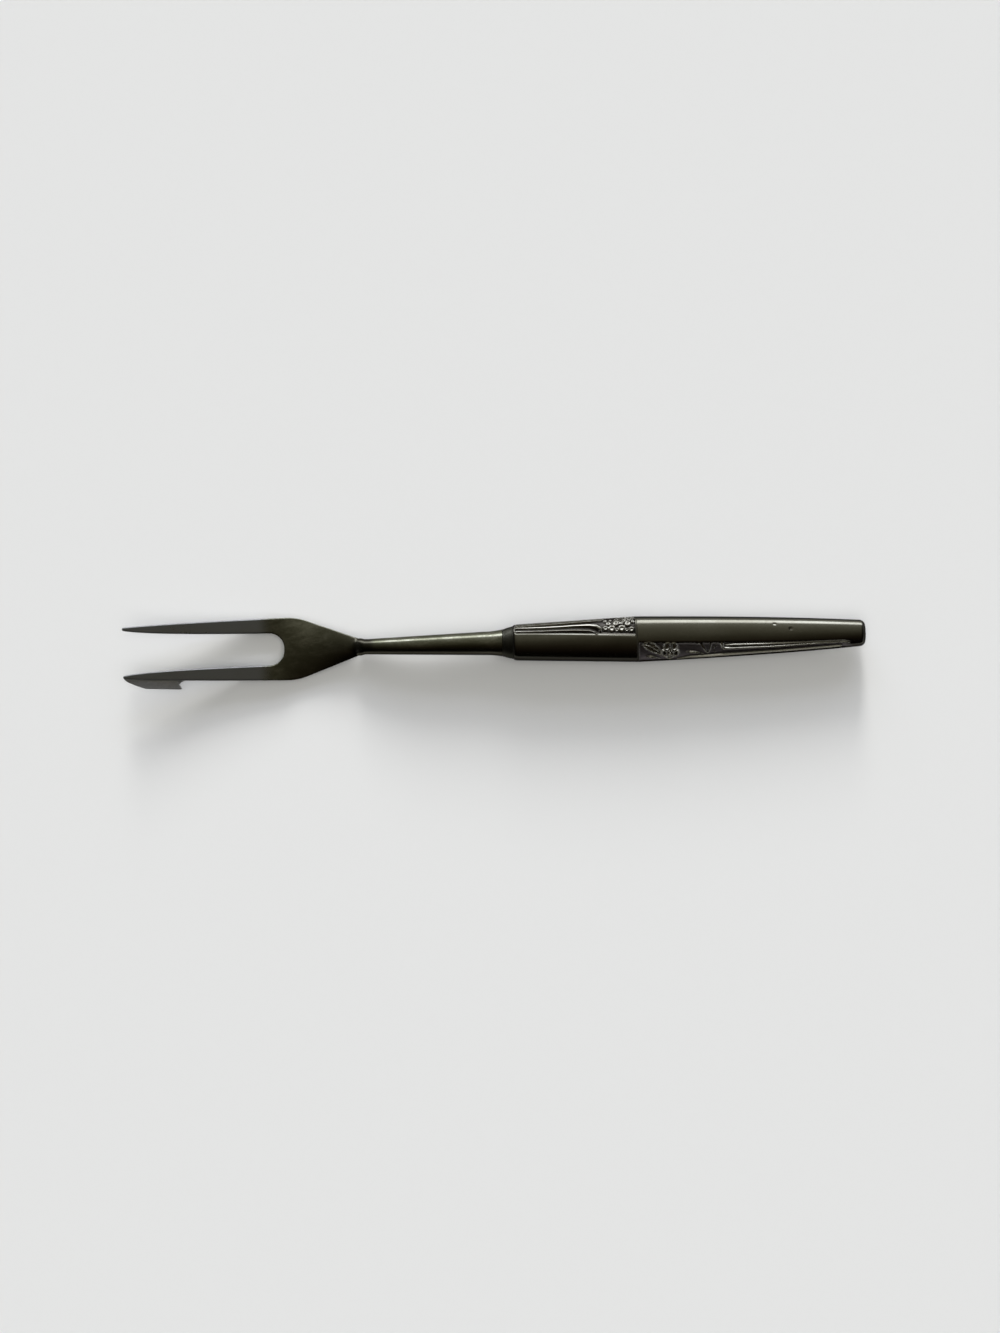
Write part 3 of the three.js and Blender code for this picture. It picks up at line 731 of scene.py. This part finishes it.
# %% The panel in front of the belly: four reeds, one with a bud, and blossoms with berries
def cut_front(panel):
    panel.stroke([
        (0.28, 0.27, 0.3, 0.34), (0.383, 0.31, 0.34, 0.44), (0.51, 0.34, 0.34, 0.46),
        (0.636, 0.38, 0.34, 0.46), (0.888, 0.4, 0.3, 0.42), (1.02, 0.42, 0.26, 0.36),
    ])
    panel.stroke([
        (0.26, 0.1, 0.24, 0.26), (0.4, 0.12, 0.26, 0.36), (1.02, 0.16, 0.24, 0.32),
    ])
    panel.stroke([
        (0.292, 0.78, 0.55, 0.4), (0.298, 0.7, 0.75, 0.54), (0.325, 0.61, 0.8, 0.56),
        (0.383, 0.56, 0.6, 0.52), (0.51, 0.56, 0.46, 0.48), (0.636, 0.59, 0.42, 0.46),
        (0.762, 0.607, 0.4, 0.46), (0.888, 0.6, 0.38, 0.44), (1.02, 0.57, 0.34, 0.4),
    ])
    panel.stroke([
        (0.322, 0.93, 0.22, 0.26), (0.34, 0.86, 0.28, 0.4), (0.383, 0.8, 0.34, 0.44),
        (0.51, 0.785, 0.36, 0.46), (0.636, 0.795, 0.34, 0.44), (0.762, 0.81, 0.32, 0.42),
        (0.888, 0.82, 0.3, 0.4), (1.02, 0.8, 0.26, 0.34),
    ])
    panel.blossom(0.12, 0.28, 1.8, turn=12, height=0.44, cupped=0.6)
    panel.blossom(0.05, 0.22, 1.3, turn=50, height=0.4, cupped=0.6)
    for along, across, radius in [
        (0.25, 0.7, 0.7), (0.224, 0.5, 0.66), (0.198, 0.71, 0.9), (0.163, 0.5, 0.78),
        (0.116, 0.7, 0.94), (0.066, 0.52, 0.8), (0.036, 0.74, 0.7), (0.25, 0.34, 0.56),
        (0.024, 0.44, 0.46), (0.157, 0.77, 0.44), (0.076, 0.77, 0.42), (0.208, 0.32, 0.46),
        (0.112, 0.48, 0.46),
    ]:
        panel.dome(along, across, radius, 0.4, dimple=0.5)


# %% The panel behind the belly: leaves, a blossom, a crossed band, and three reeds
def cut_rear(panel):
    panel.leaf((0.014, 0.86), (0.062, 0.9), (0.12, 0.42), 1.12, 0.5, veins=4, hollow=0.7)
    panel.leaf((0.028, 0.4), (0.06, 0.46), (0.104, 0.24), 0.5, 0.44, veins=1)
    panel.blossom(0.146, 0.62, 2.3, turn=50, height=0.54, cupped=0.74)
    panel.leaf((0.206, 0.56), (0.25, 0.6), (0.305, 0.44), 0.42, 0.4, veins=1)
    panel.stroke([
        (0.276, 0.98, 0.3, 0.18), (0.288, 0.88, 0.42, 0.2), (0.304, 0.7, 0.42, 0.2),
        (0.318, 0.48, 0.24, 0.16),
    ])
    panel.stroke([
        (0.335, 0.98, 0.3, 0.18), (0.331, 0.8, 0.36, 0.2), (0.326, 0.62, 0.36, 0.2),
        (0.32, 0.48, 0.2, 0.16),
    ])
    for along, across in [(0.346, 0.72), (0.358, 0.8), (0.352, 0.52), (0.27, 0.9)]:
        panel.dome(along, across, 0.26, 0.16)
    panel.dome(0.383, 0.87, 0.46, 0.46)
    panel.stroke([
        (0.388, 0.84, 0.42, 0.44), (0.387, 0.76, 0.46, 0.5), (0.394, 0.69, 0.46, 0.52),
        (0.432, 0.68, 0.46, 0.52), (0.496, 0.685, 0.46, 0.52), (0.566, 0.69, 0.44, 0.52),
        (0.658, 0.7, 0.42, 0.5), (0.751, 0.74, 0.38, 0.47), (0.84, 0.77, 0.34, 0.43),
        (0.97, 0.75, 0.22, 0.28),
    ])
    panel.stroke([
        (0.4, 0.82, 0.22, 0.28), (0.43, 0.835, 0.3, 0.42), (0.566, 0.838, 0.3, 0.42),
        (0.751, 0.85, 0.28, 0.4), (0.936, 0.82, 0.22, 0.3),
    ])
    panel.stroke([
        (0.18, 0.16, 0.24, 0.32), (0.242, 0.3, 0.3, 0.5), (0.311, 0.315, 0.32, 0.56),
        (0.427, 0.37, 0.34, 0.6), (0.566, 0.41, 0.34, 0.6), (0.751, 0.445, 0.34, 0.58),
        (0.936, 0.44, 0.28, 0.42),
    ])


# %% Depth of the strike at each point of the upper shell
bare_relief, crest_relief = (0.02 * mm, 0.16 * mm), (0.08 * mm, 0.24 * mm)
# The fourth number is the crests' polish. It is partly real polish and partly a painted highlight:
# stronger on the rear panel, away from the window, than on the front.
front_panel = (-1, front_length, end_wall, 0.45, cut_front)
rear_panel = (1, rear_length, butt_fade, 1.0, cut_rear)


def struck(x, angle):
    """How far each point is sunk, and masks: the ground of each panel, darkened on the front as
    painted shade, and the crests in both, partly a painted highlight.
    """
    sunk, ground, stipple, crests = (np.zeros_like(x) for _ in range(4))
    for side, length, far_end, crest_polish_and_sheen, cutter in (front_panel, rear_panel):
        here = (x < belly_x) if side < 0 else (x >= belly_x)
        from_seam = angle if side < 0 else np.pi - angle
        u = np.abs(x - belly_x) - panel_rib / 2
        across = from_seam / panel_angle(x)
        breadth = breadth_at(x)
        mask = np.interp((1 - across) * breadth, lip_places, lip_drops)
        mask = mask * smoothstep(u, 0, end_wall) * smoothstep(length - u, 0, far_end)
        mask = mask * smoothstep(across * breadth, seam_lip, seam_rim) * here
        panel = Panel(np.where(here, u, 0), np.where(here, across, 0), length, side)
        cutter(panel)
        sunk += mask * (panel_depth - panel.height)
        bare = mask * (1 - smoothstep(panel.height, *bare_relief))
        # The front panel's bare ground gets its own mask, so it can be toned far darker as painted
        # shade.
        ground += bare * (side < 0)
        stipple += bare * (side > 0)
        crests += mask * smoothstep(panel.height, *crest_relief) * crest_polish_and_sheen
    return sunk, ground, stipple, crests


# Each dent has its place along the handle, its angle in degrees, its radius and its depth.
dents = [(59.8 * mm, 52.0, 0.38 * mm, 0.1 * mm), (63.4 * mm, 69.4, 0.46 * mm, 0.17 * mm)]


def dented(x, angle):
    """Two small knocks in the plain band, each with a raised lip."""
    sunk = np.zeros_like(x)
    for place, degrees, radius, depth in dents:
        around = (angle - math.radians(degrees)) * half_width_at(x) * 0.8
        away = np.hypot(x - place, around) / radius
        hollow = (1 - np.clip(away, 0, 1) ** 2) ** 1.5
        lip = (1 - np.clip(np.abs(away - 1.1) / 0.4, 0, 1)) ** 2
        sunk += depth * (hollow - 0.12 * lip)
    return sunk


print("dents in the plain band:", len(dents))

# %% Stations and columns of the shell
motif_spacing, reed_spacing, butt_spacing = 0.125 * mm, 0.26 * mm, 0.15 * mm
mouth_end = 3.0 * mm
rib_start, rib_end = belly_x - panel_rib / 2, belly_x + panel_rib / 2
front_motifs, rear_motifs = rib_start - 10.6 * mm, rib_end + 19.6 * mm
butt_start = shell_length - 3.6 * mm
round_start, round_end = shell_length - butt_round, shell_length - butt_round * 0.2
shell_stations = stations(
    (0, mouth_round, mouth_round / 10),
    (mouth_round, mouth_end, motif_spacing),
    (mouth_end, front_motifs, reed_spacing),
    (front_motifs, rib_start, motif_spacing),
    (rib_start, rib_end, panel_rib / 5),
    (rib_end, rear_motifs, motif_spacing),
    (rear_motifs, butt_start, reed_spacing),
    (butt_start, round_start, butt_spacing),
    (round_start, round_end, butt_round / 10),
    (round_end, shell_length, butt_round / 40),
)
panel_columns, band_columns = 124, 60
all_columns = panel_columns + band_columns
edge_angle = panel_angle(shell_stations)
turned = shell_stations >= belly_x
first_span = np.where(turned, np.pi - edge_angle, edge_angle)[:, None]
in_panel = np.linspace(0, 1, panel_columns + 1)
in_band = 1 + np.linspace(0, 1, band_columns + 1)[1:]
panel_first = np.concatenate([in_panel, in_band])
evenly = np.linspace(0, 1, all_columns + 1)
band_first = np.interp(evenly, [0, band_columns / all_columns, 1], [0, 1, 2])
across_columns = np.where(turned[:, None], band_first, panel_first)
before_edge, past_edge = first_span * across_columns, mix(first_span, np.pi, across_columns - 1)
shell_angles = np.where(across_columns < 1, before_edge, past_edge)
shell_grid_x = np.repeat(shell_stations[:, None], all_columns + 1, axis=1)
print("points on one shell:", shell_angles.size)

# %% Strike the sheet
groove_depth, groove_width = 0.07 * mm, 0.16 * mm
sunk, ground, stipple, crests = struck(shell_grid_x, shell_angles)
from_seam = np.minimum(shell_angles, np.pi - shell_angles) * (half_depth_at(shell_grid_x) + 1 * mm)
seam_groove = groove_depth * (1 - smoothstep(from_seam, 0, groove_width))
inward = sunk + dented(shell_grid_x, shell_angles) + seam_groove
outer_skin = on_section(shell_grid_x, shell_angles, inward)
outer_skin[:, [0, -1], 2] = 0

inner_columns = 12
inner_x = shell_stations * (shell_length - shell_wall) / shell_length
inner_grid_x = np.repeat(inner_x[:, None], inner_columns + 1, axis=1)
inner_angles = np.tile(np.linspace(0, 1, inner_columns + 1) * np.pi, (len(inner_x), 1))
inner_skin = on_section(inner_grid_x, inner_angles, shell_wall + panel_depth)
inner_skin[:, [0, -1], 2] = 0
print(f"deepest strike {sunk.max() / mm:.2f} mm, highest relief {-sunk.min() / mm:.2f} mm")

# %% Close the sheet into a half shell
rows, outer_count = shell_angles.shape
inner_count = inner_columns + 1
inner_start = rows * outer_count
outer_number = np.arange(inner_start).reshape(rows, outer_count)
inner_number = inner_start + np.arange(rows * inner_count).reshape(rows, inner_count)
shell_faces = grid_faces(rows, outer_count) + grid_faces(rows, inner_count, inner_start)
for seam in (0, -1):
    shell_faces += strip_faces(outer_number[:, seam], inner_number[:, seam])
shell_faces += [
    [*outer_number[0], *inner_number[0][::-1]], outer_number[-1], inner_number[-1],
    [*outer_number[-1, [0, -1]], *inner_number[-1, [-1, 0]]],
]
half_shell = np.vstack([outer_skin.reshape(-1, 3), inner_skin.reshape(-1, 3)])
print("faces of one shell:", len(shell_faces))

# %% Masks for the shells: panels, crests, and painted shade on the sides, the mouth and the butt
# Painted shade: the steep sides near both seams, the mouth and the butt are darkened where the
# metal would mirror lit paper.
far_side = 1 - smoothstep(shell_angles, math.radians(18), math.radians(35))
near_side = 1 - smoothstep(np.pi - shell_angles, math.radians(35), math.radians(47))
at_mouth = 1 - smoothstep(shell_grid_x, 0.1 * mm, 0.55 * mm)
at_butt = smoothstep(shell_grid_x, shell_length - 1.1 * mm, shell_length - 0.5 * mm)
shaded_sides = np.maximum.reduce([far_side, near_side, at_mouth, at_butt])
shell_masks = {"ground": ground, "stipple": stipple, "crest": crests, "shaded_sides": shaded_sides}
none_inside = np.zeros(rows * inner_count)
for mask, values in shell_masks.items():
    shell_masks[mask] = np.concatenate([values.ravel(), none_inside])
shell_crease = 80
upper_points = half_shell + (shell_x, 0, axis_z)
lower_points = half_shell * (1, -1, -1) + (shell_x, 0, axis_z)
upper_shell = make_piece(
    "handle_shell_upper", upper_points, shell_faces, shell_masks, shell_crease)
lower_shell = make_piece(
    "handle_shell_lower", lower_points, shell_faces, shell_masks, shell_crease)

# %% [markdown]
# ## Finishes
#
# All the metal is one dark steel, so its materials share their effects and differ in their values.
# A single grey with one gloss looks like plastic. Real old steel is mottled by patina and has fine
# marks along its length from the grinding belt. Each effect is a node group, built once and placed
# in each material. Masks from the meshes then lay painted shade on the neck, on the sides of the
# shells and on the ground of the front panel.
# Coordinates are the object's own, in millimetres, so the effects have their true size.

# %% Helpers for wiring nodes
FLOAT, COLOR = "NodeSocketFloat", "NodeSocketColor"


def new_group(name, inputs, outputs):
    group = bpy.data.node_groups.new(name, "ShaderNodeTree")
    for label, kind, value in inputs:
        socket = group.interface.new_socket(label, in_out="INPUT", socket_type=kind)
        socket.default_value = value
    for label, kind in outputs:
        group.interface.new_socket(label, in_out="OUTPUT", socket_type=kind)
    return group, group.nodes.new("NodeGroupInput"), group.nodes.new("NodeGroupOutput")


def set_inputs(tree, node, values):
    """Gives a node's inputs their numbers or links."""
    for socket, value in values.items():
        if isinstance(value, bpy.types.NodeSocket):
            tree.links.new(value, node.inputs[socket])
        else:
            node.inputs[socket].default_value = value


def add_node(tree, kind, values=None, **settings):
    node = tree.nodes.new(kind)
    for name, value in settings.items():
        setattr(node, name, value)
    set_inputs(tree, node, values or {})
    return node


def math_node(tree, operation, first, second=0.0):
    values = {0: first, 1: second}
    return add_node(tree, "ShaderNodeMath", values, operation=operation).outputs[0]


def product(tree, first, second):
    return math_node(tree, "MULTIPLY", first, second)


def total(tree, first, second):
    return math_node(tree, "ADD", first, second)


def range_node(tree, value, low, high, to_low=0.0, to_high=1.0):
    return add_node(tree, "ShaderNodeMapRange", {
        "Value": value, "From Min": low, "From Max": high, "To Min": to_low, "To Max": to_high,
    }, interpolation_type="SMOOTHSTEP").outputs["Result"]


def blend(tree, factor, first, second):
    values = {"Factor": factor, "A": first, "B": second}
    return add_node(tree, "ShaderNodeMix", values, data_type="RGBA").outputs["Result"]


def painted(tree, mask):
    return add_node(tree, "ShaderNodeAttribute", attribute_name=mask).outputs["Fac"]


def millimetres(tree, stretch=(1, 1, 1)):
    """The object's own coordinates in millimetres, stretched for grain."""
    place = add_node(tree, "ShaderNodeTexCoord").outputs["Object"]
    scale = Vector(stretch) * 1000
    return add_node(tree, "ShaderNodeMapping", {"Vector": place, "Scale": scale}).outputs[0]


def noise(tree, stretch, **values):
    values["Vector"] = millimetres(tree, stretch)
    return add_node(tree, "ShaderNodeTexNoise", values).outputs["Fac"]


print("sockets used by the groups:", FLOAT, COLOR)

# %% Group: mottled patina
broad_share = 0.72
patch_middle, patch_softness = 0.88, 0.16
patina, taken, given = new_group("mottled_patina", [
    ("Clean Tone", COLOR, (0.1, 0.1, 0.085, 1)), ("Dark Tone", COLOR, (0.04, 0.038, 0.03, 1)),
    ("Cover", FLOAT, 0.4), ("Patch Scale", FLOAT, 0.25),
], [("Color", COLOR), ("Patch", FLOAT)])
clean, dark, cover, patch_scale = taken.outputs[:4]
broad = noise(
    patina, (0.45, 1, 1), Scale=patch_scale, Detail=5.0, Roughness=0.6, Distortion=0.4)
fine = noise(patina, (0.6, 1, 1), Scale=2.4, Detail=4.0, Roughness=0.65)
fine_part = product(patina, fine, 1 - broad_share)
blended = total(patina, product(patina, broad, broad_share), fine_part)
edge = math_node(patina, "SUBTRACT", patch_middle, cover)
edge_start = math_node(patina, "SUBTRACT", edge, patch_softness)
patch = range_node(patina, blended, edge_start, total(patina, edge, patch_softness))
set_inputs(patina, given, {"Color": blend(patina, patch, clean, dark), "Patch": patch})
print("group:", patina.name)

# %% Group: fine marks along the length, from the grinding belt and from use
line_share = 0.7
scratch_width = 0.025
grain, taken, given = new_group("lengthwise_grain", [
    ("Fineness", FLOAT, 9.0), ("Scratches", FLOAT, 0.3),
], [("Height", FLOAT)])
lines = noise(
    grain, (0.05, 1, 1), Scale=taken.outputs["Fineness"], Detail=3.0, Roughness=0.7)
pits = noise(grain, (1, 1, 1), Scale=3.1, Detail=4.0, Roughness=0.55)
tilted = add_node(grain, "ShaderNodeMapping", {
    "Vector": millimetres(grain, (0.11, 1, 1)), "Rotation": (0.05, 0.08, 0.14),
}).outputs[0]
cells = add_node(grain, "ShaderNodeTexVoronoi", {
    "Vector": tilted, "Scale": 0.9, "Randomness": 1.0,
}, feature="DISTANCE_TO_EDGE")
scratch = range_node(grain, cells.outputs["Distance"], 0.0, scratch_width, 1.0, 0.0)
broken = product(grain, scratch, range_node(grain, pits, 0.5, 0.62))
scratch = product(grain, broken, taken.outputs["Scratches"])
pit_part = product(grain, pits, 1 - line_share)
marks = total(grain, product(grain, lines, line_share), pit_part)
set_inputs(grain, given, {"Height": math_node(grain, "SUBTRACT", marks, scratch)})
print("group:", grain.name)

# %% [markdown]
# ### Dark steel
#
# The steel is a full metal, so its colour is what it mirrors back: a tenth to a quarter, with a
# slight olive cast, and more only where the barb was ground. Gloss varies with the same patches,
# and the grain is a bump of a few thousandths of a millimetre. The ground of the panels is
# stippled with a small punch, so it scatters light and reads as dull beside polished crests.
# Painted shade makes the front panel's ground much darker than the rear's and darkens the sides of
# the shells and the neck. The crests carry a painted highlight as well as their polish, stronger
# on the rear panel.

# %% Build the steel finishes
mirror_edge = (0.5, 0.5, 0.53, 1)
worn_color, worn_roughness = (0.23, 0.234, 0.231, 1), 0.14
# Colour and cover of the painted shade on the neck and on the near side of the shank.
neck_shade_color, neck_shade_cover = (0.04, 0.037, 0.027, 1), 0.94
punch_scale, punch_depth = 3.6, 9.0
# Each mask of the struck sheet has its cover, its colour, and how much rougher it is.
sheet_finishes = {
    # Painted shade on the sides, the mouth and the butt of the shells.
    "shaded_sides": (0.92, (0.022, 0.02, 0.016, 1), 0.0),
    # Painted shade: the front panel's ground, which faces the window, is much darker than the
    # rear's.
    "ground": (0.85, (0.032, 0.028, 0.025, 1), 0.22),
    "stipple": (0.9, (0.17, 0.152, 0.155, 1), 0.4),
    # The crests are polished lighter metal, with a painted highlight on top that is strongest on
    # the rear panel.
    "crest": (0.9, (0.46, 0.443, 0.375, 1), 0.12),
}


def new_material(name):
    material = bpy.data.materials.new(name)
    material.use_nodes = True
    return material, material.node_tree, material.node_tree.nodes["Principled BSDF"]


def finish(name, clean, dark, cover, patch_scale, gloss, dull, bump_height, fineness, scratches,
           metal=1.0, struck_sheet=False, worn_tines=False):
    """A mottled, grained material, with the masks of the sheet or of the head laid over it."""
    material, tree, shader = new_material(name)
    tone = add_node(tree, "ShaderNodeGroup", {
        "Clean Tone": clean + (1,), "Dark Tone": dark + (1,), "Cover": cover,
        "Patch Scale": patch_scale,
    }, node_tree=patina)
    lines = add_node(
        tree, "ShaderNodeGroup", {"Fineness": fineness, "Scratches": scratches}, node_tree=grain)
    color = tone.outputs["Color"]
    rough = range_node(tree, tone.outputs["Patch"], 0, 1, gloss, dull)
    lift = lines.outputs["Height"]
    if worn_tines:
        worn = painted(tree, "worn")
        color = blend(tree, worn, color, worn_color)
        # Painted shade: the neck mask darkens the neck and the near side of the shank.
        color = blend(tree, product(tree, painted(tree, "neck"), neck_shade_cover), color, neck_shade_color)
        rough = total(tree, rough, product(tree, worn, worn_roughness))
    if struck_sheet:
        for mask, (strength, tint, rougher) in sheet_finishes.items():
            here = painted(tree, mask)
            color = blend(tree, product(tree, here, strength), color, tint)
            rough = total(tree, rough, product(tree, here, rougher))
        punch = add_node(tree, "ShaderNodeTexVoronoi", {
            "Vector": millimetres(tree), "Scale": punch_scale, "Randomness": 0.8,
        })
        pit = range_node(tree, punch.outputs["Distance"], 0.05, 0.45)
        in_ground = total(tree, painted(tree, "ground"), painted(tree, "stipple"))
        lift = total(tree, lift, product(tree, product(tree, pit, in_ground), punch_depth))
    bump = add_node(tree, "ShaderNodeBump", {
        "Height": lift, "Strength": 1.0, "Distance": bump_height * mm,
    })
    set_inputs(tree, shader, {
        "Base Color": color, "Metallic": metal, "Roughness": rough, "Normal": bump.outputs[0],
    })
    if metal:
        set_inputs(tree, shader, {"Specular Tint": mirror_edge})
    return material


# Each row: clean and dark tone, cover and scale of the patina, roughness where it is clean and
# where it is dark, height of the bumps in mm, fineness of the grain, and scratches.
head_steel = finish(
    "worn_head_steel", (0.235, 0.233, 0.186), (0.1, 0.1, 0.066),
    0.46, 0.3, 0.11, 0.24, 0.003, 8.0, 0.35, worn_tines=True)
barb_steel = finish(
    "ground_barb_steel", (0.6, 0.602, 0.59), (0.46, 0.46, 0.445),
    0.4, 0.3, 0.5, 0.62, 0.01, 10.0, 0.5)
collar_steel = finish(
    "dull_collar_steel", (0.08, 0.078, 0.062), (0.04, 0.039, 0.03),
    0.5, 0.4, 0.3, 0.45, 0.006, 8.0, 0.2)
shell_steel = finish(
    "struck_shell_steel", (0.165, 0.162, 0.132), (0.115, 0.11, 0.084),
    0.42, 0.13, 0.09, 0.17, 0.002, 9.0, 0.3, struck_sheet=True)
print("steels:", ", ".join(m.name for m in (head_steel, barb_steel, collar_steel, shell_steel)))

# %% Cast filler inside the handle
filler = finish(
    "cast_filler", (0.34, 0.3, 0.24), (0.2, 0.17, 0.13),
    0.45, 0.5, 0.75, 0.95, 0.05, 4.0, 0.0, metal=0.0)
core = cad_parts["handle_core"]
core.data.materials.clear()
core.data.materials.append(filler)
print("core finish:", filler.name)

# %% Give each piece its finish and its body, and hide the imported node it takes the place of
for piece, material, slot, node in [
    (head_skin, head_steel, "head_steel", "fork_head"),
    (barb_skin, barb_steel, "head_steel", "fork_head"),
    (tang, head_steel, "head_steel", "fork_head"),
    (collar_skin, collar_steel, "collar_steel", "handle_collar"),
    (upper_shell, shell_steel, "shell_steel", "handle_upper_shell"),
    (lower_shell, shell_steel, "shell_steel", "handle_lower_shell"),
]:
    piece.data.materials.append(material)
    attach(piece, "root")
    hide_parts(node)

# %% [markdown]
# ## Light, floor and camera
#
# The photograph was taken from straight above, beside a window. Its light comes in low from
# the far side, so the upper flank of each round form carries one bright line, and the near
# flank stays almost black. Two suns that no metal mirrors light the paper: a low one for the
# long soft shadow, and a broad one overhead. The room that the metal mirrors is the world: pale
# toward the window, dark behind, with fainter windows at both ends and a pale skirting.

# %% The room, as the metal mirrors it
room_levels = [
    (-1.0, (0.004, 0.003, 0.002)), (-0.8, (0.010, 0.007, 0.005)),
    (-0.55, (0.03, 0.022, 0.016)), (-0.3, (0.064, 0.052, 0.037)),
    (0.0, (0.148, 0.136, 0.105)), (0.3, (0.3, 0.29, 0.245)), (0.55, (0.42, 0.415, 0.37)),
    (0.75, (0.64, 0.64, 0.6)), (1.0, (0.75, 0.75, 0.72)),
]
side_wall_start, side_wall_end = 0.15, 0.6
side_wall_level = 0.25

world = bpy.data.worlds.new("room")
bpy.context.scene.world = world
world.use_nodes = True
tree = world.node_tree
tree.nodes.clear()
sky = add_node(tree, "ShaderNodeTexCoord").outputs["Generated"]
sky_x, sky_y, sky_z = add_node(tree, "ShaderNodeSeparateXYZ", {"Vector": sky}).outputs
depth_into_room = total(tree, product(tree, sky_y, 0.5), 0.5)
ramp = add_node(tree, "ShaderNodeValToRGB", {"Fac": depth_into_room})
while len(ramp.color_ramp.elements) < len(room_levels):
    ramp.color_ramp.elements.new(0.5)
for element, (place, level) in zip(ramp.color_ramp.elements, room_levels):
    element.position = (place + 1) / 2
    element.color = level + (1,)
sideways = math_node(tree, "ABSOLUTE", sky_x)
side_walls = range_node(tree, sideways, side_wall_start, side_wall_end, 1.0, side_wall_level)
room = add_node(
    tree, "ShaderNodeBackground", {"Color": ramp.outputs["Color"], "Strength": side_walls})
print("room levels:", len(room_levels))

# %% The window and the pale skirting round the room
window_strength, side_window_level = 5.6, 0.5
window_color = (0.93, 0.97, 1.12, 1)
skirting_color = (0.82, 0.825, 0.82, 1)
skirting_top = 5, 7


def sine(degrees):
    return math.sin(math.radians(degrees))


def pane(start, full, fade, end, toward):
    """A window between elevations in degrees, soft at its edges, in the direction given."""
    rising = range_node(tree, sky_z, sine(start), sine(full))
    falling = range_node(tree, sky_z, sine(fade), sine(end), 1.0, 0.0)
    return product(tree, product(tree, rising, falling), toward)


side_pane = pane(5, 9, 20, 32, range_node(tree, sideways, 0.6, 0.85))
main_pane = pane(4.5, 9, 22, 32, range_node(tree, sky_y, 0.7, 0.85))
main_light = product(tree, main_pane, window_strength)
side_light = product(tree, side_pane, side_window_level)
window = add_node(tree, "ShaderNodeBackground", {
    "Color": window_color, "Strength": total(tree, main_light, side_light),
})
skirting = add_node(tree, "ShaderNodeBackground", {"Color": skirting_color})
low_wall = range_node(tree, sky_z, *map(sine, skirting_top), 1.0, 0.0)
walls = add_node(
    tree, "ShaderNodeMixShader", {0: low_wall, 1: room.outputs[0], 2: skirting.outputs[0]})
lit = add_node(tree, "ShaderNodeAddShader", {0: walls.outputs[0], 1: window.outputs[0]})
add_node(tree, "ShaderNodeOutputWorld", {"Surface": lit.outputs[0]})
print("window strength:", window_strength)

# %% Two lamps that only the paper feels, each given by its share of the paper's light
daylight_color = (1, 0.99, 0.955)


def daylight(name, share, spread, elevation):
    """A sun from the window's side, as high as its elevation; above 90 it comes from behind."""
    data = bpy.data.lights.new(name, "SUN")
    data.energy = share * math.pi / sine(elevation)
    data.angle = math.radians(spread)
    data.color = daylight_color
    lamp = link_object(name, data)
    lamp.rotation_euler = (math.radians(elevation - 90), 0, 0)
    lamp.visible_glossy = False
    print(f"{name}: energy {data.energy:.2f}")


daylight("low_window_light", 0.265, 12, 12)
daylight("ceiling_fill", 0.358, 70, 103)

# %% Paper floor
half_floor = 5.0
paper_color = (0.78, 0.785, 0.78, 1)
corners = (-1, -1), (1, -1), (1, 1), (-1, 1)
floor_mesh = bpy.data.meshes.new("paper_floor")
floor_mesh.from_pydata([(x * half_floor, y * half_floor, 0) for x, y in corners], [], [range(4)])
floor = link_object("paper_floor", floor_mesh)
paper, tree, shader = new_material("paper")
set_inputs(tree, shader, {
    "Base Color": paper_color, "Roughness": 0.95, "Specular IOR Level": 0.1,
})
floor_mesh.materials.append(paper)
print("floor:", 2 * half_floor, "m wide")

# %% Camera straight above, turned a little as in the photograph
picture_height = 305.7 * mm
camera_height = 450 * mm
picture_middle = 1.129 * mm, -4.688 * mm
picture_turn = -1.607
sensor_width = 36
camera_data = bpy.data.cameras.new("camera")
camera_data.sensor_width = sensor_width
camera_data.lens = sensor_width * camera_height / picture_height
camera = link_object("camera", camera_data)
camera.location = (*picture_middle, axis_z + camera_height)
camera.rotation_euler = (0, 0, math.radians(picture_turn))
bpy.context.scene.camera = camera
bpy.context.scene.view_settings.view_transform = "Standard"
print(f"lens {camera_data.lens:.1f} mm")
